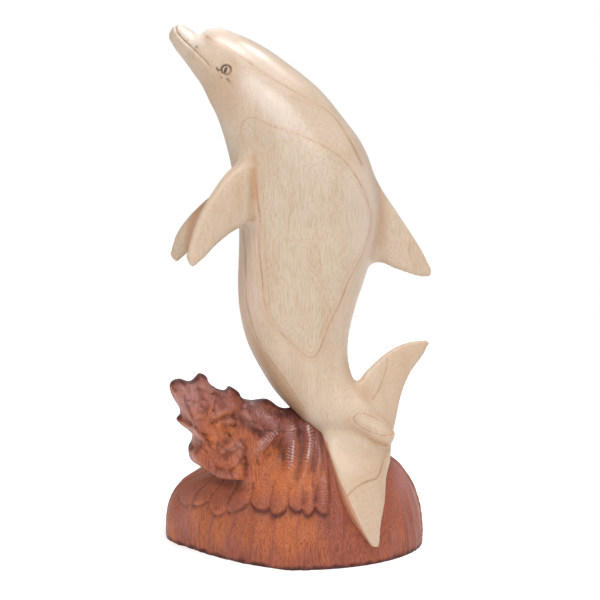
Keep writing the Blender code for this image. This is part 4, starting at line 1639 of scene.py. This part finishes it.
    def stain(self, skin: Skin, work: Gouging) -> None:
        """Stores the stain's zones, the painted shade in nooks, cuts and under the tongues, the painted sheen
        on raised strokes, and where the cuts are rippled.

        Args:
            skin: The carved skin.
            work: What the gouge left.
        """
        bend, broad = skin.hollows(2), skin.hollows(24)
        points, normals = skin.points, skin.normals
        warm, dusk_and_shade, painted_sheen = self.colour_zones(points, normals)
        toned = work.chiselled * work.tones
        raised = np.clip(work.height / UNIT / 1.4, 0, 1) * (1 - np.clip(work.ripple, 0, 1))
        cut = np.clip(-work.height / UNIT / 1.2, 0, 1)
        painted_sheen = np.clip(painted_sheen * (1 + self.tone_sheen * toned), 0, 1)
        # Painted shade in the hollows and along the cuts' borders, where the stain also pools.
        nooks = np.clip(bend * 3.0 - 0.10, 0, 1) + np.clip(broad * 4.0, 0, 0.5)
        nooks *= 1 - 0.4 * work.chiselled
        lines = work.chiselled * work.between * ease(slow_noise(points, 0.012, 9), -0.5, 0.3)
        skin.mark("hollow", np.clip(np.maximum.reduce([
            nooks,
            self.painted_shade(points, normals, work.crest),
            self.line_shade * lines,
            self.cut_shade * cut,
            self.under_shade * work.on_mound * work.under,
        ]), 0, 1))
        skin.mark("ridge", np.clip(-bend * 2.6 - 0.06, 0, 1))
        skin.mark("ripple", work.ripple)
        skin.mark("walked", work.walked)
        skin.mark("warm", np.clip(warm + self.tone_warm * toned, 0, 1))
        skin.mark("dusk_and_shade", np.clip(dusk_and_shade - self.tone_dusk * toned, 0, 1))
        # Painted sheen: pinkish highlights from the spots, by the chisel cuts' tones, and on the crest's
        # raised strokes.
        skin.mark("painted_sheen", np.maximum(painted_sheen, self.ridge_sheen * work.crest * raised))

    def build(self, material: bpy.types.Material, figure: Dolphin) -> bpy.types.Object:
        """Builds, carves and dresses the base.

        Args:
            material: The stained wood.
            figure: The dolphin, whose fluke the base carries.

        Returns:
            The shown piece.
        """
        mound = MOUND.shell(self.mound_rings, self.mound_sides)
        shells = [mound, self.crest_shell(), self.apron_shell(), self.bed_shell(figure)]
        skin = Skin.of_shells(shells, self.voxel)
        before = self.soften(skin, figure)
        self.stain(skin, self.carve(skin, *before))
        return skin.finish("wave_carving", "wave_base", Wood.STAINED, material)


# Finishes
class Nodes:
    """Short names for making a shader's nodes and links."""

    def __init__(self, tree: bpy.types.NodeTree) -> None:
        """Keeps the tree that nodes are added to."""
        self.tree = tree

    def fill(self, node: bpy.types.Node, inputs: dict) -> bpy.types.Node:
        """Sets values on a node's inputs and links sockets to them.

        Args:
            node: The node.
            inputs: Values or sockets, by the input's name or number.

        Returns:
            The same node.
        """
        for key, value in inputs.items():
            if isinstance(value, Socket):
                self.tree.links.new(value, node.inputs[key])
            else:
                node.inputs[key].default_value = value
        return node

    def add(self, kind: str, inputs: dict | None = None, **settings) -> bpy.types.Node:
        """Adds a node.

        Args:
            kind: The node's type, without the word ShaderNode.
            inputs: Values or sockets for its inputs, by name or number.
            settings: Its properties.

        Returns:
            The node.
        """
        node = self.tree.nodes.new("ShaderNode" + kind)
        for name, value in settings.items():
            setattr(node, name, value)
        return self.fill(node, inputs or {})

    def math(self, operation: str, *values: object, clamp: bool = False) -> Socket:
        """Output of a Math node with these values or sockets."""
        return self.add("Math", dict(enumerate(values)), operation=operation, use_clamp=clamp).outputs[0]

    def sum(self, *values: object) -> Socket:
        """Sum of two or more values or sockets."""
        return reduce(lambda total, value: self.math("ADD", total, value), values)

    def product(self, *values: object) -> Socket:
        """Product of two or more values or sockets."""
        return reduce(lambda total, value: self.math("MULTIPLY", total, value), values)

    def mix(self, share: object, first: object, second: object, blend: str = "MIX") -> Socket:
        """Colour mixed from two colours."""
        node = self.add("Mix", {"Factor": share, 6: first, 7: second}, data_type="RGBA", blend_type=blend)
        return node.outputs[2]

    def shaded(self, colour: object, value: Socket) -> Socket:
        """Colour times a number."""
        grey = self.add("CombineColor", dict(enumerate([value] * 3))).outputs[0]
        return self.mix(1.0, colour, grey, "MULTIPLY")

    def ramp(self, value: object, low: object, high: object) -> Socket:
        """Smooth step of a value from 0 at low to 1 at high."""
        inputs = {"Value": value, "From Min": low, "From Max": high}
        return self.add("MapRange", inputs, interpolation_type="SMOOTHSTEP").outputs["Result"]

    def moved(self, operation: str, first: object, second: object) -> Socket:
        """Vector plus or times another, as the operation says."""
        return self.add("VectorMath", {0: first, 1: second}, operation=operation).outputs[0]

    def noise(self, place: Socket, scale: float, detail: float = 2.0, roughness: float = 0.5) -> Socket:
        """Cloudy noise from 0 to 1."""
        inputs = {"Vector": place, "Scale": scale, "Detail": detail, "Roughness": roughness}
        return self.add("TexNoise", inputs).outputs["Fac"]

    def attribute(self, name: str) -> Socket:
        """Number stored at the mesh's points."""
        return self.add("Attribute", attribute_name=name).outputs["Fac"]

    def grained(self, grain: bpy.types.NodeTree, place: Socket, sizes: tuple) -> list[Socket]:
        """Pores, fibres and shade of the upright grain.

        Args:
            grain: The upright grain group.
            place: Coordinates on the object.
            sizes: Width and length of the pores in metres, and their share.

        Returns:
            The three sockets.
        """
        named = dict(zip(("Pore Width", "Pore Length", "Pore Share"), sizes))
        made = self.add("Group", {"Vector": place, **named}, node_tree=grain).outputs
        return [made["Pores"], made["Fibres"], made["Shade"]]

    def deepened(self, hollows: bpy.types.NodeTree, place: Socket, colours: tuple, strength: float) -> Socket:
        """Colour that deepens in the hollows: painted shade, with pooled stain on the stained wood.

        Args:
            hollows: The deep hollows group.
            place: Coordinates on the object.
            colours: The plain colour and the hollows'.
            strength: How much of the hollows' colour is taken.

        Returns:
            The colour's socket.
        """
        inputs = {"Vector": place, "Color": colours[0], "Hollow Color": colours[1]}
        inputs |= {"Hollow": self.attribute("hollow"), "Strength": strength}
        return self.add("Group", inputs, node_tree=hollows).outputs["Color"]

    def bump(self, height: Socket) -> Socket:
        """Normal of a surface with this height in millimetres."""
        return self.add("Bump", {"Height": height, "Distance": MILLIMETRE, "Strength": 1.0}).outputs[0]


def rgb(red: float, green: float, blue: float) -> tuple[float, float, float, float]:
    """Linear colour with full opacity."""
    return red, green, blue, 1.0


def new_group(name: str, inputs: dict[str, tuple[str, object]], outputs: dict[str, str]) -> tuple:
    """Starts a node group with named sockets.

    Args:
        name: The group's name.
        inputs: Socket kind and default value by name.
        outputs: Socket kind by name.

    Returns:
        The group's tree, its node maker, and its input and output nodes' sockets.
    """
    tree = bpy.data.node_groups.new(name, "ShaderNodeTree")
    for label, (kind, default) in inputs.items():
        socket = tree.interface.new_socket(label, in_out="INPUT", socket_type="NodeSocket" + kind)
        if default is not None:
            socket.default_value = default
    for label, kind in outputs.items():
        tree.interface.new_socket(label, in_out="OUTPUT", socket_type="NodeSocket" + kind)
    nodes = Nodes(tree)
    entry = tree.nodes.new("NodeGroupInput")
    leave = tree.nodes.new("NodeGroupOutput")
    return tree, nodes, entry.outputs, leave.inputs


def grain_group() -> bpy.types.NodeTree:
    """Upright grain: pores as thin dashes, fibres as finer streaks, and slow shade changes.

    Returns:
        The group, which takes coordinates in metres and gives values from 0 to 1.
    """
    tree, nodes, given, wanted = new_group(
        "UprightGrain",
        {
            "Vector": ("Vector", None),
            "Pore Width": ("Float", 0.0007),
            "Pore Length": ("Float", 0.0040),
            "Pore Share": ("Float", 0.6),
        },
        {"Pores": "Float", "Fibres": "Float", "Shade": "Float"},
    )
    wide = nodes.math("DIVIDE", 1.0, given["Pore Width"])
    tall = nodes.math("DIVIDE", 1.0, given["Pore Length"])
    scale = nodes.add("CombineXYZ", {"X": wide, "Y": wide, "Z": tall}).outputs[0]
    bend = nodes.add("TexNoise", {"Vector": given["Vector"], "Scale": 28.0, "Detail": 1.0}).outputs["Color"]
    bent = nodes.moved("ADD", given["Vector"], nodes.moved("MULTIPLY", bend, (0.006, 0.006, 0.0)))
    stretched = nodes.moved("MULTIPLY", bent, scale)
    share = given["Pore Share"]
    dashes = nodes.noise(stretched, 1.0, 1.0)
    found = {
        "Pores": nodes.ramp(dashes, nodes.sum(share, -0.05), nodes.sum(share, 0.07)),
        "Fibres": nodes.noise(nodes.moved("MULTIPLY", stretched, (1.5, 1.5, 0.30)), 1.0, 3.0, 0.6),
        "Shade": nodes.noise(nodes.moved("MULTIPLY", bent, (90.0, 90.0, 16.0)), 1.0, 3.0),
    }
    for label, socket in found.items():
        tree.links.new(socket, wanted[label])
    return tree


def hollow_group() -> bpy.types.NodeTree:
    """Colour that deepens in hollows, broken up by a fine cloud: painted shade, with pooled stain on the
    stained wood.

    Returns:
        The group, which takes the plain colour, the colour of the hollows and how hollow.
    """
    tree, nodes, given, wanted = new_group(
        "DeepHollows",
        {
            "Vector": ("Vector", None),
            "Color": ("Color", rgb(0.5, 0.5, 0.5)),
            "Hollow Color": ("Color", rgb(0.1, 0.05, 0.03)),
            "Hollow": ("Float", 0.0),
            "Strength": ("Float", 1.0),
        },
        {"Color": "Color"},
    )
    broken = nodes.product(given["Hollow"], nodes.sum(nodes.noise(given["Vector"], 240.0, 3.0), 0.5))
    mask = nodes.math("MULTIPLY", broken, given["Strength"], clamp=True)
    tree.links.new(nodes.mix(mask, given["Color"], given["Hollow Color"]), wanted["Color"])
    return tree


def new_material(name: str) -> tuple[bpy.types.Material, Nodes, bpy.types.Node]:
    """Starts a material.

    Args:
        name: The material's name.

    Returns:
        The material, its node maker and its shader.
    """
    made = bpy.data.materials.new(name)
    made.use_nodes = True
    return made, Nodes(made.node_tree), made.node_tree.nodes["Principled BSDF"]


@dataclass(frozen=True)
class PaleWood:
    """Sanded pale wood with growth lines, pores and a satin wax, with painted shade and sheen."""

    heart: tuple = rgb(0.500, 0.402, 0.298)
    sapwood: tuple = rgb(0.518, 0.403, 0.300)
    deeper: tuple = rgb(0.430, 0.298, 0.195)
    # Brownish colour of the painted shade.
    tan: tuple = rgb(0.390, 0.195, 0.085)
    line: tuple = rgb(0.245, 0.130, 0.080)
    halo: tuple = rgb(0.490, 0.305, 0.190)
    pore: tuple = rgb(0.400, 0.250, 0.150)
    # Colour of the painted shade in the grooves.
    hollow: tuple = rgb(0.480, 0.250, 0.110)
    ink: tuple = rgb(0.060, 0.028, 0.018)
    # Colour of the red-brown band on the lower lobe.
    stain: tuple = rgb(0.430, 0.185, 0.100)
    # Colour of the painted highlights.
    pale_sheen: tuple = rgb(0.800, 0.720, 0.690)
    pores: tuple[float, float, float] = (0.00036, 0.0085, 0.56)
    hollow_strength: float = 0.6
    roughness: float = 0.42
    coat_roughness: float = 0.28

    def material(self, grain: bpy.types.NodeTree, hollows: bpy.types.NodeTree) -> bpy.types.Material:
        """Makes the material.

        Args:
            grain: The upright grain group.
            hollows: The deep hollows group.

        Returns:
            The material of the figure.
        """
        made, nodes, shader = new_material(Wood.PALE.value)
        place = nodes.add("TexCoord").outputs["Object"]
        pores, fibres, shade = nodes.grained(grain, place, self.pores)
        heart = nodes.attribute("heart")
        plain = nodes.mix(heart, self.sapwood, self.heart)
        shade = nodes.product(nodes.ramp(shade, 0.40, 0.75), 0.50)
        plain = nodes.mix(shade, plain, self.deeper)
        plain = nodes.shaded(plain, nodes.sum(nodes.product(fibres, 0.60), 0.70))
        amount = nodes.sum(nodes.product(heart, 0.17), 0.42)
        plain = nodes.mix(nodes.product(pores, amount), plain, self.pore)
        # Painted shade: the brownish colour mixed in.
        plain = nodes.mix(nodes.product(nodes.attribute("tan"), 0.82), plain, self.tan)
        # Painted highlights: the pale sheen mixed in.
        plain = nodes.mix(nodes.attribute("pale_sheen"), plain, self.pale_sheen)
        wander = nodes.sum(nodes.noise(place, 75.0, 4.0), -0.5)
        reach = nodes.math("ABSOLUTE", nodes.sum(nodes.attribute("line_gap"), nodes.product(wander, 1.5)))
        ink = nodes.attribute("line_ink")
        plain = nodes.mix(nodes.product(nodes.ramp(reach, 3.6, 0.3), ink, 0.42), plain, self.halo)
        faint = nodes.ramp(nodes.noise(place, 45.0), 0.15, 0.55)
        inked = nodes.product(ink, nodes.sum(nodes.product(faint, 0.55), 0.15))
        plain = nodes.mix(nodes.product(nodes.ramp(reach, 0.66, 0.10), inked), plain, self.line)
        apart = nodes.product(nodes.sum(nodes.noise(place, 22.0), -0.2), 9.0)
        second = nodes.math("ABSOLUTE", nodes.math("SUBTRACT", reach, apart))
        plain = nodes.mix(nodes.product(nodes.ramp(second, 0.5, 0.1), inked, 0.22), plain, self.line)
        # Painted shade in the grooves.
        deep = nodes.deepened(hollows, place, (plain, self.hollow), self.hollow_strength)
        edge = nodes.sum(nodes.attribute("stain"), nodes.product(wander, 0.5))
        colour = nodes.mix(nodes.product(nodes.ramp(edge, 0.35, 0.65), 0.9), deep, self.stain)
        uneven = nodes.product(nodes.noise(place, 48.0, 1.0), 0.30)
        nodes.fill(shader, {
            "Base Color": nodes.mix(nodes.attribute("ink"), colour, self.ink),
            "Roughness": nodes.sum(nodes.product(fibres, 0.16), self.roughness - 0.08),
            "Normal": nodes.bump(nodes.sum(uneven, nodes.product(pores, -0.03), nodes.product(fibres, 0.02))),
            "Coat Weight": nodes.attribute("polish"),
            "Coat Roughness": self.coat_roughness,
        })
        return made


@dataclass(frozen=True)
class StainedWood:
    """Red-brown stain under gloss lacquer, orange on the faces and maroon in the hollows from pooled stain
    and painted shade, with painted sheen in pink.
    """

    orange: tuple = rgb(0.462, 0.128, 0.040)
    brown: tuple = rgb(0.325, 0.086, 0.042)
    # Dusky colour of the stain, also used for painted shade.
    dusk_and_shade: tuple = rgb(0.210, 0.058, 0.046)
    maroon: tuple = rgb(0.060, 0.013, 0.010)
    pore: tuple = rgb(0.085, 0.020, 0.012)
    edge: tuple = rgb(0.460, 0.150, 0.070)
    # Pinkish colour of the painted sheen and of the ripples' painted highlights.
    sheen_mauve: tuple = rgb(0.470, 0.235, 0.215)
    pores: tuple[float, float, float] = (0.00043, 0.0078, 0.54)
    hollow_strength: float = 1.0
    roughness: float = 0.44
    coat_roughness: float = 0.26
    specular: float = 0.26

    def material(self, grain: bpy.types.NodeTree, hollows: bpy.types.NodeTree) -> bpy.types.Material:
        """Makes the material.

        Args:
            grain: The upright grain group.
            hollows: The deep hollows group.

        Returns:
            The material of the base.
        """
        made, nodes, shader = new_material(Wood.STAINED.value)
        place = nodes.add("TexCoord").outputs["Object"]
        pores, fibres, shade = nodes.grained(grain, place, self.pores)
        patch = nodes.sum(nodes.attribute("warm"), nodes.product(nodes.sum(shade, -0.5), 2.2))
        plain = nodes.mix(nodes.ramp(patch, 0.02, 0.95), self.brown, self.orange)
        plain = nodes.shaded(plain, nodes.sum(nodes.product(fibres, 1.1), 0.45))
        # Mixes in the dusky tone with its painted shade, the pores, the painted sheen and the lighter ridges.
        for amount, strength, tint in (
            (nodes.attribute("dusk_and_shade"), 0.75, self.dusk_and_shade),
            (pores, 0.52, self.pore),
            (nodes.attribute("painted_sheen"), 0.55, self.sheen_mauve),
            (nodes.attribute("ridge"), 0.22, self.edge),
        ):
            plain = nodes.mix(nodes.product(amount, strength), plain, tint)
        # Painted shade in maroon in the hollows, together with the pooled stain.
        deep = nodes.deepened(hollows, place, (plain, self.maroon), self.hollow_strength)
        ripple, wobble = nodes.attribute("ripple"), nodes.noise(place, 300.0, 1.0)
        beat = nodes.sum(nodes.product(nodes.attribute("walked"), 4.4), nodes.product(wobble, 8.0))
        wave = nodes.sum(nodes.product(nodes.math("SINE", beat), 0.5), 0.5)
        # Painted highlights on the ripples' crests, and painted shade in maroon between them.
        between = nodes.product(ripple, nodes.math("SUBTRACT", 1.0, wave), 0.65)
        ripple_highlit = nodes.mix(nodes.product(ripple, wave, 0.45), deep, self.sheen_mauve)
        uneven = nodes.noise(place, 130.0)
        relief = ((ripple, wave, 0.24), (pores, -0.06), (fibres, 0.09), (uneven, 0.35))
        nodes.fill(shader, {
            "Base Color": nodes.mix(between, ripple_highlit, self.maroon),
            "Roughness": nodes.sum(nodes.product(fibres, 0.25), self.roughness - 0.12),
            "Normal": nodes.bump(nodes.sum(*(nodes.product(*factors) for factors in relief))),
            "Specular IOR Level": self.specular,
            "Coat Weight": nodes.sum(nodes.product(ripple, 0.9), 0.04),
            "Coat Roughness": self.coat_roughness,
        })
        return made


def aim(obj: bpy.types.Object, place: tuple, target: tuple) -> None:
    """Puts a lamp or camera into the scene.

    Args:
        obj: The lamp or camera.
        place: Where it stands.
        target: The point that it faces.
    """
    obj.location = place
    obj.rotation_euler = (Vector(target) - Vector(place)).to_track_quat("-Z", "Y").to_euler()
    bpy.context.scene.collection.objects.link(obj)


@dataclass
class Studio:
    """Floor, lights and camera."""

    camera_place: tuple[float, float, float] = (-0.0911, -0.8951, 0.2750)
    camera_aim: tuple[float, float, float] = (0.0030, 0.0000, 0.1425)
    lens: float = 94.8
    floor_size: float = 0.75
    floor_shade: float = 0.90
    floor_glow: float = 0.23
    surround: float = 0.50
    lamps_aim: tuple[float, float, float] = (0.0, 0.0, 0.13)
    lamps: tuple[tuple[str, tuple[float, float, float], tuple[float, float], float], ...] = (
        ("overhead", (0.05, -0.50, 1.35), (0.60, 0.60), 10.5),
        ("window", (-0.95, -1.05, 0.75), (0.55, 0.55), 4.0),
        ("high_strip", (0.58, 0.08, 1.30), (0.45, 0.22), 4.5),
        ("low_window", (0.20, -1.20, 0.52), (0.42, 0.16), 2.6),
        ("skylight", (-0.25, 0.95, 1.15), (1.20, 1.20), 5.0),
    )

    def floor(self) -> None:
        """A large pale sheet under the carving, faintly lit from within like a light table."""
        size = self.floor_size
        mesh = bpy.data.meshes.new("floor")
        corners = [(-size, -size, 0), (size, -size, 0), (size, size, 0), (-size, size, 0)]
        mesh.from_pydata(corners, [], [(0, 1, 2, 3)])
        obj = bpy.data.objects.new("floor", mesh)
        bpy.context.scene.collection.objects.link(obj)
        pale, nodes, shader = new_material("pale_floor")
        nodes.fill(shader, {
            "Base Color": rgb(self.floor_shade, self.floor_shade, self.floor_shade),
            "Roughness": 0.8,
            "Emission Color": rgb(1.0, 1.0, 1.0),
            "Emission Strength": self.floor_glow,
        })
        mesh.materials.append(pale)

    def lamp(self, name: str, place: tuple, size: tuple[float, float], power: float) -> None:
        """A rectangular soft light that points at the middle of the carving.

        Args:
            name: The lamp's name.
            place: Where it hangs.
            size: Its width and height.
            power: Its power in watts.
        """
        light = bpy.data.lights.new(name, "AREA")
        light.shape = "RECTANGLE"
        light.size, light.size_y = size
        light.energy = power
        aim(bpy.data.objects.new(name, light), place, self.lamps_aim)

    def sky(self) -> None:
        """A white surround that lights softly and is seen as plain white."""
        world = bpy.data.worlds.new("surround")
        world.use_nodes = True
        nodes = Nodes(world.node_tree)
        light = world.node_tree.nodes["Background"]
        seen = nodes.add("LightPath").outputs["Is Camera Ray"]
        strength = nodes.sum(nodes.product(seen, 1.0 - self.surround), self.surround)
        world.node_tree.links.new(strength, light.inputs["Strength"])
        light.inputs["Color"].default_value = rgb(1.0, 1.0, 1.0)
        bpy.context.scene.world = world

    def camera(self) -> None:
        """The camera at the photograph's angle."""
        camera = bpy.data.cameras.new("camera")
        camera.lens = self.lens
        camera.sensor_width = 36.0
        obj = bpy.data.objects.new("camera", camera)
        aim(obj, self.camera_place, self.camera_aim)
        bpy.context.scene.camera = obj

    def build(self) -> None:
        """Sets up the floor, the lights, the surround and the camera."""
        self.floor()
        for lamp in self.lamps:
            self.lamp(*lamp)
        self.sky()
        self.camera()
        bpy.context.scene.view_settings.view_transform = "Standard"


def main() -> None:
    """Builds the carving and its studio."""
    logging.basicConfig(level=logging.INFO, format="%(name)s: %(message)s")
    grain, hollows = grain_group(), hollow_group()
    figure = Dolphin()
    figure.build(PaleWood().material(grain, hollows))
    Wave().build(StainedWood().material(grain, hollows), figure)
    Studio().build()


if __name__ == "__main__":
    main()
